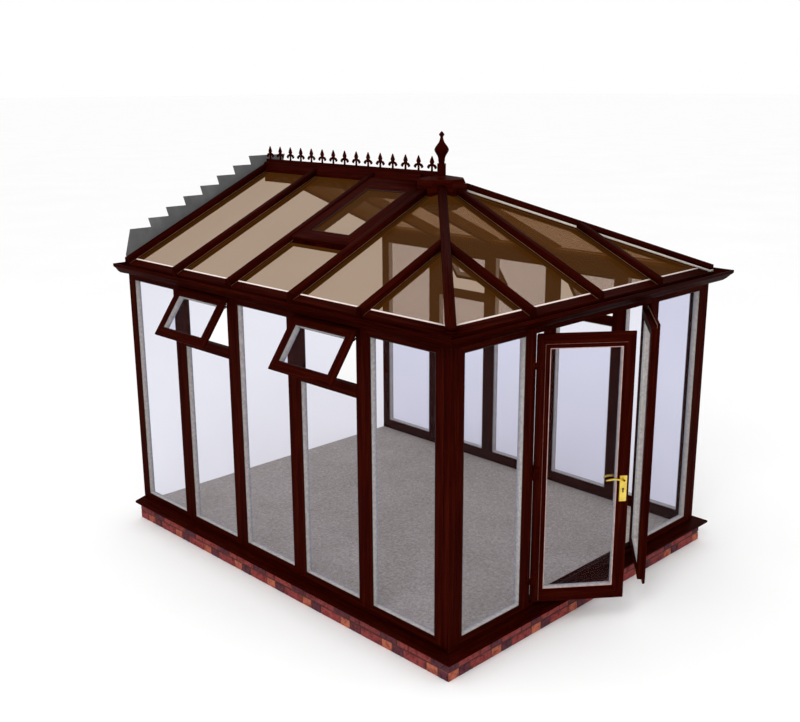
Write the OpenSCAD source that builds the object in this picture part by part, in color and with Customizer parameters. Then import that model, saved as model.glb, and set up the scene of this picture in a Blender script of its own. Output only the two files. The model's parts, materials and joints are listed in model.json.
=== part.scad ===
// Edwardian conservatory: a hipped, glazed garden room that stands against a house wall.
// X runs across the width, the doors face -Y, the open house side faces +Y, and Z is up.
// The origin is the middle of the rectangle of the wall frames, at the foot of the brickwork.

/* [Overall] */
// Width over the outer faces of the side frames
width = 3155; // [2900:5:4000]
// Length over the front frame and the house wall
length = 3895; // [3600:5:4800]
// Pitch of the roof, in degrees
pitch = 25; // [20:1:30]

/* [Base] */
// Height of the brick plinth and of the floor inside it
plinth_height = 150; // [110:5:300]
// Thickness of the brick plinth
plinth_wall = 100; // [90:5:120]
// Distance that the brickwork stands out past the frames
plinth_outset = 48; // [30:1:60]

/* [Sill] */
// Thickness of the sill board under the frames
sill_board = 30; // [24:1:40]
// Height that the sloping sill rises against the frames
sill_rise = 21; // [15:1:30]
// Distance that the sill nose stands out past the frames
sill_outset = 100; // [80:1:130]
// Height of the sill nose
sill_nose = 20; // [15:1:24]

/* [Wall frames] */
// Height of the wall frames
frame_height = 2160; // [1900:5:2400]
// Depth of the frames from outside to inside
frame_depth = 60; // [50:1:70]
// Width of every stile and rail
frame_face = 72; // [60:1:80]
// Width of the strip that joins the last side window to the house
wall_strip = 25; // [20:1:40]
// Number of windows in each side wall
side_windows = 5; // [5]
// Height of the bar under the opening vents
transom_height = 80; // [70:1:90]
// Height of the light above that bar
vent_light = 383; // [350:1:420]

/* [Sealed units] */
// Thickness of a sealed glass unit
glass_thickness = 24; // [20:1:28]
// Depth of the glass behind the outer face of its frame
glass_setback = 4; // [2:1:8]

/* [Vents] */
// Angle that the vents are held open at, in degrees
vent_open = 35; // [15:1:45]
// Distance that a vent laps over its frame at the sides
vent_lap = 38; // [30:1:45]
// Distance that a vent laps over its frame at the top and bottom
vent_lap_z = 31; // [25:1:36]
// Thickness of the outer lip of vents and doors
lip = 20; // [16:1:22]
// Width of the frame members of a vent
vent_face = 75; // [60:1:80]
// Depth of the body of a vent behind its lip
vent_body_depth = 38; // [30:1:45]
// Clearance round the body of a vent, filled at the sides by the friction stays
vent_gap = 5; // [4:0.5:6]
// Width of a friction stay
stay_width = 14; // [10:1:18]

/* [Doors] */
// Width of the whole door set
door_width = 1500; // [1300:5:1600]
// Width of the frame that shows round the closed doors
door_reveal = 40; // [36:1:45]
// Height of the threshold that shows under the closed doors
threshold_reveal = 48; // [40:1:55]
// Depth that the head of the frame shows more than the jambs
head_packing = 5; // [0:1:8]
// Clearance round each door
door_gap = 5; // [5:0.5:8]
// Clearance between the two doors where they meet
meeting_gap = 10; // [10:1:12]
// Width of a door stile
door_stile = 90; // [80:1:100]
// Height of a door rail
door_rail = 105; // [90:1:120]
// Distance from the edge of the lip to the body of a door
door_rebate = 35; // [33:1:38]
// The same distance where the doors meet
meeting_rebate = 3; // [3:1:6]
// Angle that the doors stand open at, in degrees
door_open = 38; // [0:1:90]

/* [Hinges] */
// Diameter of a hinge pin
pin_diameter = 8; // [6:0.5:9]
// Running clearance round the pin
pin_clearance = 0.05; // [0.02:0.01:0.1]
// Diameter of a hinge knuckle
knuckle_diameter = 16; // [14:0.5:17]
// Height of one hinge
hinge_height = 100; // [80:1:120]
// Width of a hinge plate
hinge_plate = 30; // [20:1:31]
// Thickness of a hinge plate
hinge_thickness = 3; // [2:0.5:4]
// Distance from the door face out to the hinge axis
hinge_standoff = 10; // [9:0.5:12]

/* [Door handle] */
// Height of the lever above the ground
lever_height = 1170; // [1000:5:1200]
// Length of a lever
lever_length = 130; // [100:5:140]
// Thickness of a lever
lever_thickness = 14; // [10:1:16]
// Distance from a backplate out to the middle of its lever
lever_standoff = 42; // [35:1:50]
// Height of a backplate
backplate_height = 200; // [180:5:220]
// Width of a backplate
backplate_width = 48; // [36:1:52]
// Thickness of a backplate
backplate_thickness = 9; // [6:1:12]
// Diameter of the spindle
spindle_diameter = 10; // [8:1:12]

/* [Eaves and gutter] */
// Distance that the gutter stands out past the frames
gutter_outset = 142; // [120:1:160]
// Height of the front edge of the gutter above its foot
gutter_height = 104; // [90:1:120]
// Thickness of the gutter wall
gutter_wall = 4; // [3:0.5:6]
// Distance from the top of the frames down to the foot of the gutter
gutter_drop = 24; // [10:1:26]

/* [Roof bars] */
// Height of the top of the roof bars above the frames, at their outer face
roof_rise = 86; // [80:1:110]
// Width of a bar cap
cap_width = 64; // [56:1:70]
// Thickness of a bar cap
cap_thickness = 20; // [15:1:25]
// Thickness of the web between two roof panels
web_width = 16; // [12:1:20]
// Thickness of the roof panels
panel_thickness = 25; // [16:1:35]
// Width of the bar under the panels
body_width = 60; // [50:1:66]
// Depth of the bar under the panels
body_depth = 45; // [30:1:80]
// Distance that bars and panels pass over the gutter
eaves_overhang = 20; // [10:1:30]
// Width of a hip cap
hip_cap_width = 72; // [66:1:80]
// Clearance where the sloping pieces of the roof meet
seat = 0.1; // [0.05:0.05:0.5]

/* [Ridge] */
// Half width of the ridge cap
ridge_half = 70; // [60:1:80]
// Half width of the flat on top of the ridge
ridge_flat = 28; // [20:1:36]
// Height of the ridge top above the meeting line of the bar caps
ridge_rise = 46; // [35:1:60]
// Half width of the ridge beam
beam_half = 35; // [30:1:40]
// Depth of the ridge beam under the panels
beam_depth = 75; // [60:1:90]
// Distance from the middle of the hub to each of its eight sides
hub_apothem = 150; // [140:1:160]
// The same distance on the end cap that covers the hub
cap_apothem = 203; // [195:1:215]
// Height of the boss under the hub
boss_height = 50; // [30:1:70]
// Distance that the top of the boss stands out past the hub
boss_flare = 28; // [10:1:40]

/* [Cresting and finial] */
// Number of spikes
spikes = 15; // [9:1:19]
// Distance from one spike to the next
spike_pitch = 154; // [130:1:170]
// Height of a spike
spike_height = 150; // [110:1:180]
// Thickness of the cresting
cresting_thickness = 10; // [6:1:14]
// Width of the foot of the finial
finial_foot = 62; // [50:1:70]
// Height of the finial
finial_height = 350; // [300:5:420]

/* [Roof vent] */
// Distance from the outer face of the frames to the foot of the vent, level
roof_vent_start = 600; // [500:5:700]
// Width of the foot and sides of the roof vent
roof_vent_face = 125; // [70:1:130]
// Width of its head, beside the ridge
roof_vent_head = 185; // [120:1:200]
// Gap between the roof vent and the bar caps beside it
roof_vent_gap = 3; // [2:1:8]
// Height of the roof vent kerb above the panels
kerb_height = 26; // [22:1:40]
// Thickness of the lid of the roof vent
lid_thickness = 22; // [16:1:30]

/* [Flashing] */
// Thickness of the lead
lead_thickness = 3; // [2:0.5:5]
// Number of steps on each side
lead_steps = 7; // [5:1:8]
// Distance from the outer face of the frames to the first step
lead_first = 46; // [30:1:60]
// Height of the first step above the roof bars
lead_first_rise = 268; // [240:1:300]
// Half width of the level part over the ridge
lead_flat = 218; // [180:1:260]
// Slope of the stepped edge, as a share of the slope of the roof
lead_slope = 0.93; // [0.9:0.01:1]
// Lean of the edge of a step
lead_lean = 24; // [0:1:40]

/* [Hidden] */
$fn = 48;

wood = [0.22, 0.06, 0.03];
pane = [0.82, 0.83, 0.90];
bronze = [0.60, 0.50, 0.40];
gold = [0.85, 0.75, 0.25];

half_w = width / 2;
half_l = length / 2;
reach = 300;
tall = 6000;
tan_p = tan(pitch);
cos_p = cos(pitch);

// Heights of the walls
frame_foot = plinth_height + sill_board;
frame_top = frame_foot + frame_height;
light_foot = frame_foot + frame_face;
light_top = frame_top - frame_face;
transom_top = light_top - vent_light;
transom_foot = transom_top - transom_height;

// Places of the windows along a side wall, measured from the front
module_length = (length - frame_depth - wall_strip) / side_windows;
function window_start(i) = frame_depth + i * module_length;
is_vent = [for (i = [0 : side_windows - 1]) i % 2 == 1];

// Roof heights: each value is at the outer face of the frames
cap_top = frame_top + roof_rise;
panel_top = cap_top - cap_thickness / cos_p;
panel_foot = panel_top - panel_thickness / cos_p;
body_foot = panel_foot - body_depth / cos_p;
hub_y = -half_l + half_w;
apex_cap = cap_top + half_w * tan_p;
apex_panel_top = panel_top + half_w * tan_p;
apex_panel_foot = panel_foot + half_w * tan_p;
ridge_top = apex_cap + ridge_rise;

// Places of the roof bars
jack_y = window_start(1);
bar_y = [hub_y + half_l, window_start(3), window_start(4)];
starter_y = length - cap_width / 2;
left_bars = concat([jack_y], bar_y, [starter_y]);
front_bars = [-half_w / 2, 0, half_w / 2];

// Steps of the flashing
lead_step = (half_w - lead_first - lead_flat) / lead_steps;
lead_rise = lead_step * tan_p * lead_slope;

// ---- Shapes that are shared ----

// A profile of [outset, height] points run along the left wall
module run_side(profile) {
    intersection() {
        translate([-half_w, half_l, 0])
            rotate([90, 0, 0])
                linear_extrude(length + reach)
                    polygon([for (p = profile) [-p[0], p[1]]]);
        linear_extrude(tall)
            polygon([
                [-half_w - reach, -half_l - reach],
                [-half_w + reach, -half_l + reach],
                [-half_w + reach, half_l],
                [-half_w - reach, half_l]
            ]);
    }
}

// The same profile run along the front wall, mitred at both corners
module run_front(profile) {
    intersection() {
        translate([-half_w - reach, -half_l, 0])
            rotate([90, 0, 90])
                linear_extrude(width + 2 * reach)
                    polygon([for (p = profile) [-p[0], p[1]]]);
        linear_extrude(tall)
            polygon([
                [-half_w - reach, -half_l - reach],
                [-half_w + reach, -half_l + reach],
                [half_w - reach, -half_l + reach],
                [half_w + reach, -half_l - reach]
            ]);
    }
}

module mirrored() {
    mirror([1, 0, 0])
        children();
}

module both_sides() {
    children();
    mirrored()
        children();
}

// A frame of four bars: its outer size, the widths of its bars and its depth along +Y
module ring(size_x, size_z, stile, rail_foot, rail_top, depth) {
    difference() {
        cube([size_x, depth, size_z]);
        translate([stile, -1, rail_foot])
            cube([size_x - 2 * stile, depth + 2, size_z - rail_foot - rail_top]);
    }
}

// Turns something drawn on the front wall so that it stands on the left wall.
// Its X becomes the distance from the front, its Y the depth behind the outer face.
module on_left_wall() {
    translate([-half_w, -half_l, 0])
        multmatrix([[0, 1, 0, 0], [1, 0, 0, 0], [0, 0, 1, 0], [0, 0, 0, 1]])
            children();
}

module on_front_wall() {
    translate([0, -half_l, 0])
        children();
}

// ---- Base ----

sill_profile = [
    [-frame_depth, plinth_height],
    [plinth_outset, plinth_height],
    [plinth_outset + 8, plinth_height + 8],
    [sill_outset, plinth_height + 8],
    [sill_outset, plinth_height + 8 + sill_nose],
    [0, frame_foot + sill_rise],
    [0, frame_foot],
    [-frame_depth, frame_foot]
];

plinth_inset = plinth_wall - plinth_outset;

module brick_plinth() {
    color([0.55, 0.25, 0.2])
        difference() {
            translate([-half_w - plinth_outset, -half_l - plinth_outset, 0])
                cube([width + 2 * plinth_outset, length + plinth_outset, plinth_height]);
            translate([-half_w + plinth_inset, -half_l + plinth_inset, -1])
                cube([width - 2 * plinth_inset, length, plinth_height + 2]);
        }
}

module floor_slab() {
    color([0.55, 0.53, 0.52])
        translate([-half_w + plinth_inset, -half_l + plinth_inset, 0])
            cube([width - 2 * plinth_inset, length - plinth_inset, plinth_height]);
}

module side_sills() {
    color(wood)
        both_sides()
            run_side(sill_profile);
}

module front_sill() {
    color(wood)
        run_front(sill_profile);
}

// ---- Posts and windows ----

module posts() {
    color(wood)
        both_sides() {
            translate([-half_w, -half_l, frame_foot])
                cube([frame_depth, frame_depth, frame_height]);
            translate([-half_w, half_l - wall_strip, frame_foot])
                cube([frame_depth, wall_strip, frame_height]);
        }
}

module window_ring(i) {
    translate([window_start(i), 0, frame_foot])
        ring(module_length, frame_height, frame_face, frame_face, frame_face, frame_depth);
}

module fixed_rings() {
    for (i = [0 : side_windows - 1])
        if (!is_vent[i])
            window_ring(i);
}

module vent_rings() {
    for (i = [0 : side_windows - 1])
        if (is_vent[i]) {
            window_ring(i);
            translate([window_start(i) + frame_face, 0, transom_foot])
                cube([module_length - 2 * frame_face, frame_depth, transom_height]);
        }
}

module fixed_windows() {
    color(wood)
        both_sides()
            on_left_wall()
                fixed_rings();
}

module vent_windows() {
    color(wood)
        both_sides()
            on_left_wall()
                vent_rings();
}

module wall_glass() {
    color(pane)
        both_sides()
            on_left_wall()
                for (i = [0 : side_windows - 1])
                    translate([window_start(i) + frame_face, glass_setback, light_foot])
                        cube([
                            module_length - 2 * frame_face,
                            glass_thickness,
                            (is_vent[i] ? transom_foot : light_top) - light_foot
                        ]);
}

panel_width = half_w - frame_depth - door_width / 2;

module side_panels() {
    color(wood)
        both_sides()
            on_front_wall()
                translate([-half_w + frame_depth, 0, frame_foot])
                    ring(panel_width, frame_height, frame_face, frame_face, frame_face, frame_depth);
}

module side_panel_glass() {
    color(pane)
        both_sides()
            on_front_wall()
                translate([-half_w + frame_depth + frame_face, glass_setback, light_foot])
                    cube([panel_width - 2 * frame_face, glass_thickness, light_top - light_foot]);
}

// ---- Opening vents, held open on their friction stays ----

light_width = module_length - 2 * frame_face;
vent_width = light_width + 2 * vent_lap;
vent_height = vent_light + 2 * vent_lap_z;
vent_hinge_z = light_top + vent_lap_z;

// Swings a vent that is drawn closed, with its outer lip in front of the wall face
module swung(i) {
    translate([window_start(i) + module_length / 2, 0, vent_hinge_z])
        rotate([-vent_open, 0, 0])
            children();
}

module each_vent() {
    both_sides()
        on_left_wall()
            for (i = [0 : side_windows - 1])
                if (is_vent[i])
                    swung(i)
                        children();
}

module vent_sashes() {
    body_w = light_width - 2 * vent_gap;
    body_h = vent_light - 2 * vent_gap;
    stile = vent_face - vent_lap - vent_gap;
    rail = vent_face - vent_lap_z - vent_gap;
    color(wood)
        each_vent() {
            translate([-vent_width / 2, -lip, -vent_height])
                ring(vent_width, vent_height, vent_face, vent_face, vent_face, lip);
            translate([-body_w / 2, 0, -vent_height + vent_lap_z + vent_gap])
                ring(body_w, body_h, stile, rail, rail, vent_body_depth);
        }
}

module vent_glass() {
    color(pane)
        each_vent()
            translate([-vent_width / 2 + vent_face, glass_setback - lip, -vent_height + vent_face])
                cube([vent_width - 2 * vent_face, glass_thickness, vent_height - 2 * vent_face]);
}

// A friction stay: one end on the jamb, the other on the edge of the vent body
stay_frame_z = 250;
stay_sash_z = 330;

module vent_stays() {
    sash_y = -sin(vent_open) * stay_sash_z + 20 * cos(vent_open);
    sash_z = -cos(vent_open) * stay_sash_z - 20 * sin(vent_open);
    run_y = 30 - sash_y;
    run_z = sash_z + stay_frame_z;
    color([0.7, 0.7, 0.7])
        both_sides()
            on_left_wall()
                for (i = [0 : side_windows - 1], side = [-1, 1])
                    if (is_vent[i])
                        translate([window_start(i) + module_length / 2, 0, vent_hinge_z])
                            translate([side * (light_width / 2 - vent_gap / 2), 30, -stay_frame_z])
                                rotate([-atan2(run_z, run_y), 0, 0])
                                    translate([-vent_gap / 2, -norm([run_y, run_z]) - 8, -stay_width / 2])
                                        cube([
                                            vent_gap,
                                            norm([run_y, run_z]) + 16,
                                            stay_width
                                        ]);
}

vent_handle_length = 110;
vent_handle_width = 14;
vent_handle_base = 28;
vent_handle_rise = 9;

module vent_handles() {
    rail_z = -vent_height + vent_lap_z + vent_gap + (vent_face - vent_lap_z - vent_gap) / 2;
    color(gold)
        each_vent() {
            translate([-vent_handle_base / 2, vent_body_depth, rail_z - 12])
                cube([vent_handle_base, vent_handle_rise, 24]);
            translate([
                -vent_handle_length / 2,
                vent_body_depth + vent_handle_rise,
                rail_z - vent_handle_width / 2
            ])
                cube([vent_handle_length, 10, vent_handle_width]);
        }
}

// ---- Door frame ----

jamb_step = lip + door_gap;
door_foot = frame_foot + threshold_reveal + door_gap;
door_top = frame_top - door_reveal - head_packing - door_gap;
leaf_height = door_top - door_foot;
leaf_width = door_width / 2 - door_reveal - door_gap - meeting_gap / 2;

// Half of the door frame in plan: [distance from the side panel, depth]
jamb_plan = [
    [0, 0],
    [door_reveal, 0],
    [door_reveal, jamb_step],
    [frame_face, jamb_step],
    [frame_face, frame_depth],
    [0, frame_depth]
];

module door_jambs() {
    color(wood)
        both_sides()
            translate([-door_width / 2, -half_l, frame_foot])
                linear_extrude(frame_height)
                    polygon(jamb_plan);
}

head_profile = [
    [0, door_top + door_gap],
    [-jamb_step, door_top + door_gap],
    [-jamb_step, light_top],
    [-frame_depth, light_top],
    [-frame_depth, frame_top],
    [0, frame_top]
];

threshold_profile = [
    [0, frame_foot],
    [0, door_foot - door_gap],
    [-jamb_step, door_foot - door_gap],
    [-jamb_step, light_foot],
    [-frame_depth, light_foot],
    [-frame_depth, frame_foot]
];

// A bar between the jambs, notched round their deeper part
module between_jambs(profile) {
    difference() {
        translate([-door_width / 2 + door_reveal, -half_l, 0])
            rotate([90, 0, 90])
                linear_extrude(door_width - 2 * door_reveal)
                    polygon([for (p = profile) [-p[0], p[1]]]);
        both_sides()
            translate([-door_width / 2, -half_l + jamb_step, 0])
                cube([frame_face, frame_depth, tall]);
    }
}

module door_head() {
    color(wood)
        between_jambs(head_profile);
}

module door_threshold() {
    color([0.3, 0.1, 0.06])
        between_jambs(threshold_profile);
}

// ---- Doors: drawn closed, then swung about the hinge axis ----

hinge_x = -door_width / 2 + door_reveal + door_gap / 2;
hinge_y = -half_l - hinge_standoff;
leaf_x = -door_width / 2 + door_reveal + door_gap;

module opened() {
    translate([hinge_x, hinge_y, 0])
        rotate([0, 0, -door_open])
            translate([-hinge_x, -hinge_y, 0])
                children();
}

module leaf() {
    body_w = leaf_width - door_rebate - meeting_rebate;
    body_h = leaf_height - 2 * door_rebate;
    body_rail = door_rail - door_rebate;
    translate([leaf_x, -half_l, door_foot])
        difference() {
            union() {
                cube([leaf_width, lip, leaf_height]);
                translate([door_rebate, 0, door_rebate])
                    cube([body_w, frame_depth, body_h]);
            }
            translate([door_stile, -1, door_rail])
                cube([leaf_width - 2 * door_stile, frame_depth + 2, body_h - 2 * body_rail]);
        }
}

module leaf_glass() {
    translate([leaf_x + door_stile, -half_l + glass_setback, door_foot + door_rail])
        cube([leaf_width - 2 * door_stile, glass_thickness, leaf_height - 2 * door_rail]);
}

lever_x = leaf_x + leaf_width - door_stile / 2;
backplate_foot = lever_height - backplate_height + 30;

module spindle_hole() {
    translate([lever_x, -half_l - 1, lever_height])
        rotate([-90, 0, 0])
            cylinder(d = spindle_diameter + 2, h = frame_depth + 2);
}

module door_leaf_left() {
    color(wood)
        opened()
            difference() {
                leaf();
                spindle_hole();
            }
}

module door_leaf_right() {
    color(wood)
        mirrored()
            opened()
                leaf();
}

module door_glass_left() {
    color(pane)
        opened()
            leaf_glass();
}

module door_glass_right() {
    color(pane)
        mirrored()
            opened()
                leaf_glass();
}

// ---- Hinges: the lower knuckle and pin stay on the jamb, the upper knuckle swings ----

knuckle = hinge_height / 2 - 1;
plate_start = 9;
hinge_feet = [
    door_foot + 150,
    door_foot + leaf_height / 2 - hinge_height / 2,
    door_top - 150 - hinge_height
];

module each_hinge() {
    for (z = hinge_feet)
        translate([hinge_x, hinge_y, z])
            children();
}

module hinge_pins() {
    color([0.25, 0.1, 0.06])
        both_sides()
            each_hinge() {
                cylinder(d = knuckle_diameter, h = knuckle);
                cylinder(d = pin_diameter, h = hinge_height - 1);
                translate([-plate_start - hinge_plate, hinge_standoff - hinge_thickness, 0])
                    cube([hinge_plate, hinge_thickness, hinge_height]);
                translate([-plate_start, 0, 0])
                    cube([plate_start - door_gap / 2, hinge_standoff, knuckle]);
            }
}

module flag() {
    difference() {
        union() {
            translate([0, 0, hinge_height - knuckle])
                cylinder(d = knuckle_diameter, h = knuckle);
            translate([plate_start, hinge_standoff - hinge_thickness, 0])
                cube([hinge_plate, hinge_thickness, hinge_height]);
            translate([door_gap / 2, 0, hinge_height - knuckle])
                cube([plate_start - door_gap / 2, hinge_standoff, knuckle]);
        }
        translate([0, 0, -1])
            cylinder(r = pin_diameter / 2 + pin_clearance, h = hinge_height + 2);
    }
}

module hinge_flags_left() {
    color([0.25, 0.1, 0.06])
        opened()
            each_hinge()
                flag();
}

module hinge_flags_right() {
    color([0.25, 0.1, 0.06])
        mirrored()
            opened()
                each_hinge()
                    flag();
}

// ---- Door handle on the left leaf ----

module backplate() {
    difference() {
        translate([lever_x - backplate_width / 2, 0, backplate_foot])
            cube([backplate_width, backplate_thickness, backplate_height]);
        translate([lever_x, -1, lever_height])
            rotate([-90, 0, 0])
                cylinder(r = spindle_diameter / 2 + pin_clearance, h = backplate_thickness + 2);
    }
}

module door_backplates() {
    color(gold)
        opened() {
            translate([0, -half_l - backplate_thickness, 0])
                backplate();
            translate([0, -half_l + frame_depth, 0])
                backplate();
        }
}

module lever_arm() {
    translate([-lever_length, -lever_thickness / 2, -lever_thickness / 2])
        cube([lever_length, lever_thickness, lever_thickness]);
    rotate([90, 0, 0])
        cylinder(d = 22, h = lever_thickness, center = true);
}

module door_lever() {
    reach_out = backplate_thickness + lever_standoff;
    color(gold)
        opened()
            translate([lever_x, -half_l, lever_height]) {
                translate([0, -reach_out, 0])
                    rotate([-90, 0, 0])
                        cylinder(d = spindle_diameter, h = frame_depth + 2 * reach_out);
                translate([0, -reach_out, 0])
                    lever_arm();
                translate([0, frame_depth + reach_out, 0])
                    lever_arm();
            }
}

// ---- Eaves beams and gutters ----

eaves_profile = [
    [0, frame_top],
    [-frame_depth, frame_top],
    [-frame_depth, panel_foot + frame_depth * tan_p],
    [0, panel_foot]
];

gutter_foot = frame_top - gutter_drop;
gutter_lip = gutter_foot + gutter_height;
gutter_belly = 82;

gutter_profile = [
    [0, gutter_foot],
    [gutter_belly, gutter_foot + 20],
    [gutter_outset, gutter_foot + 78],
    [gutter_outset, gutter_lip],
    [gutter_outset - 10, gutter_lip],
    [gutter_outset - 10, gutter_lip - gutter_wall],
    [gutter_outset - gutter_wall, gutter_lip - gutter_wall],
    [gutter_outset - gutter_wall, gutter_foot + 80],
    [gutter_belly - 2, gutter_foot + 20 + gutter_wall],
    [gutter_wall, gutter_foot + gutter_wall],
    [gutter_wall, panel_foot - eaves_overhang * tan_p - 1],
    [0, panel_foot - eaves_overhang * tan_p - 1]
];

module side_eaves() {
    color(wood)
        both_sides()
            run_side(eaves_profile);
}

module front_eaves() {
    color(wood)
        run_front(eaves_profile);
}

module side_gutters() {
    color(wood)
        both_sides()
            run_side(gutter_profile);
}

module front_gutter() {
    color(wood)
        run_front(gutter_profile);
}

// ---- Roof: slopes are drawn flat, with Z = 0 at the top of the bar caps ----

slope_length = half_w / cos_p + 200;
slope_start = -eaves_overhang / cos_p - 60;

// X runs up the left slope and Y is the distance from the front
module on_left_slope() {
    translate([-half_w, -half_l, cap_top])
        rotate([0, -pitch, 0])
            children();
}

// Y runs up the front slope and X is the place across the width
module on_front_slope() {
    translate([0, -half_l, cap_top])
        rotate([pitch, 0, 0])
            children();
}

// An upright block over part of the left slope: from_x and to_x are level distances
// from the outer face of the frames, and hip_gap is the distance kept from the hip line
module left_zone(from_x, to_x, hip_gap) {
    g = hip_gap * sqrt(2);
    translate([-half_w, -half_l, 0])
        linear_extrude(tall)
            polygon([[from_x, from_x + g], [to_x, to_x + g], [to_x, length], [from_x, length]]);
}

// The same over the front slope, between the two hips
module front_zone(from_y, to_y, hip_gap) {
    g = hip_gap * sqrt(2);
    translate([0, -half_l, 0])
        linear_extrude(tall)
            polygon([
                [-half_w + from_y + g, from_y],
                [-half_w + to_y + g, to_y],
                [half_w - to_y - g, to_y],
                [half_w - from_y - g, from_y]
            ]);
}

// An upright eight-sided column on the hub
module hub_column(apothem, from_z, to_z) {
    translate([0, hub_y, from_z])
        rotate(22.5)
            cylinder(r = apothem / cos(22.5), h = to_z - from_z, $fn = 8);
}

// Everything under a level of the roof, depth being measured square to the slopes
module roof_block(depth) {
    big = 2 * length;
    intersection() {
        on_left_slope()
            translate([-big, -big, -depth - big])
                cube([2 * big, 2 * big, big]);
        mirrored()
            on_left_slope()
                translate([-big, -big, -depth - big])
                    cube([2 * big, 2 * big, big]);
        on_front_slope()
            translate([-big, -big, -depth - big])
                cube([2 * big, 2 * big, big]);
    }
}

web_top = cap_thickness;
body_top = cap_thickness + panel_thickness;
bar_foot = body_top + body_depth;

cap_half = hip_cap_width / 2;
web_half = web_width / 2;
body_half = body_width / 2;

// The layer of a bar that lies between two depths, drawn along X from 0
module bar_layer(bar_width, top, foot) {
    translate([slope_start, -bar_width / 2, -foot])
        cube([slope_length, bar_width, foot - top]);
}

module left_layer(y, bar_width, top, foot, from_x, to_x, hip_gap, apothem) {
    difference() {
        intersection() {
            on_left_slope()
                translate([0, y, 0])
                    bar_layer(bar_width, top, foot);
            left_zone(from_x, to_x, hip_gap);
        }
        hub_column(apothem + seat, 0, tall);
    }
}

// A bar of the left slope: the cap over the panels, the web between them and the body under them
module left_rafter(y) {
    left_layer(y, cap_width, 0, web_top, -eaves_overhang, half_w - ridge_half, cap_half, cap_apothem);
    left_layer(y, web_width, web_top, body_top, -eaves_overhang, half_w - web_half, web_half, hub_apothem);
    left_layer(y, body_width, body_top, bar_foot, frame_depth, half_w - beam_half, body_half, hub_apothem);
}

module front_layer(x, bar_width, top, foot, from_y, hip_gap, apothem) {
    difference() {
        intersection() {
            on_front_slope()
                translate([x, 0, 0])
                    rotate(90)
                        bar_layer(bar_width, top, foot);
            front_zone(from_y, half_w - apothem, hip_gap);
        }
        hub_column(apothem + seat, 0, tall);
    }
}

module front_rafter(x) {
    front_layer(x, cap_width, 0, web_top, -eaves_overhang, cap_half, cap_apothem);
    front_layer(x, web_width, web_top, body_top, -eaves_overhang, web_half, hub_apothem);
    front_layer(x, body_width, body_top, bar_foot, frame_depth, body_half, hub_apothem);
}

module rafters() {
    color(wood) {
        both_sides()
            for (y = left_bars)
                left_rafter(y);
        for (x = front_bars)
            front_rafter(x);
    }
}

// The hip runs at half a right angle in plan, so it climbs less steeply than the slopes
hip_angle = atan(tan_p / sqrt(2));
hip_fall = tan_p / sqrt(2) * cos(hip_angle);
hip_top = 3;

function hip_level(vertical, side) = -vertical * cos(hip_angle) - hip_fall * side;

top_of_panel = cap_thickness / cos_p;
foot_of_panel = (cap_thickness + panel_thickness) / cos_p;
hip_edge = 2;

hip_cap_outline = [
    [0, hip_top],
    [cap_half, hip_level(-hip_edge, cap_half)],
    [cap_half, hip_level(top_of_panel, cap_half)],
    [0, hip_level(top_of_panel, 0)],
    [-cap_half, hip_level(top_of_panel, cap_half)],
    [-cap_half, hip_level(-hip_edge, cap_half)]
];

hip_web_outline = [
    [0, hip_level(top_of_panel, 0)],
    [web_half, hip_level(top_of_panel, web_half)],
    [web_half, hip_level(foot_of_panel, web_half)],
    [0, hip_level(foot_of_panel, 0)],
    [-web_half, hip_level(foot_of_panel, web_half)],
    [-web_half, hip_level(top_of_panel, web_half)]
];

hip_body_outline = [
    [0, hip_level(foot_of_panel, 0)],
    [body_half, hip_level(foot_of_panel, body_half)],
    [body_half, hip_level(foot_of_panel, body_half) - body_depth],
    [-body_half, hip_level(foot_of_panel, body_half) - body_depth],
    [-body_half, hip_level(foot_of_panel, body_half)]
];

// Runs an outline up the left hip
module along_hip(outline) {
    translate([-half_w, -half_l, cap_top])
        rotate([0, 0, 45])
            rotate([0, -hip_angle, 0])
                translate([-reach, 0, 0])
                    rotate([90, 0, 90])
                        linear_extrude(2 * half_w)
                            polygon(outline);
}

// The square of the plan that the left hip crosses, from a level distance to the hub
module hip_zone(from) {
    translate([-half_w + from, -half_l + from, 0])
        cube([half_w - from, half_w - from, tall]);
}

module hip_layer(outline, from, apothem) {
    difference() {
        intersection() {
            along_hip(outline);
            hip_zone(from);
        }
        hub_column(apothem + seat, 0, tall);
    }
}

module hip_rafters() {
    color(wood)
        both_sides() {
            hip_layer(hip_cap_outline, -eaves_overhang, cap_apothem);
            hip_layer(hip_web_outline, -eaves_overhang, hub_apothem);
            hip_layer(hip_body_outline, frame_depth, hub_apothem);
        }
}

// ---- Roof panels ----

vent_bay_start = bar_y[0];
vent_bay_end = bar_y[1];

module left_sheet(y0, y1, to_x) {
    difference() {
        intersection() {
            on_left_slope()
                translate([slope_start, y0 + web_half, -body_top + seat])
                    cube([slope_length, y1 - y0 - web_width, panel_thickness - 2 * seat]);
            left_zone(-eaves_overhang, to_x - seat, web_half + seat);
        }
        hub_column(hub_apothem + seat, 0, tall);
    }
}

module left_slope_sheets(with_vent) {
    starts = concat([-reach], left_bars);
    for (i = [0 : len(left_bars) - 1]) {
        vent_here = with_vent && starts[i] == vent_bay_start;
        left_sheet(starts[i], left_bars[i], vent_here ? roof_vent_start : half_w - web_half);
    }
}

module side_roof_panels() {
    color(bronze) {
        left_slope_sheets(true);
        mirrored()
            left_slope_sheets(false);
    }
}

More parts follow.
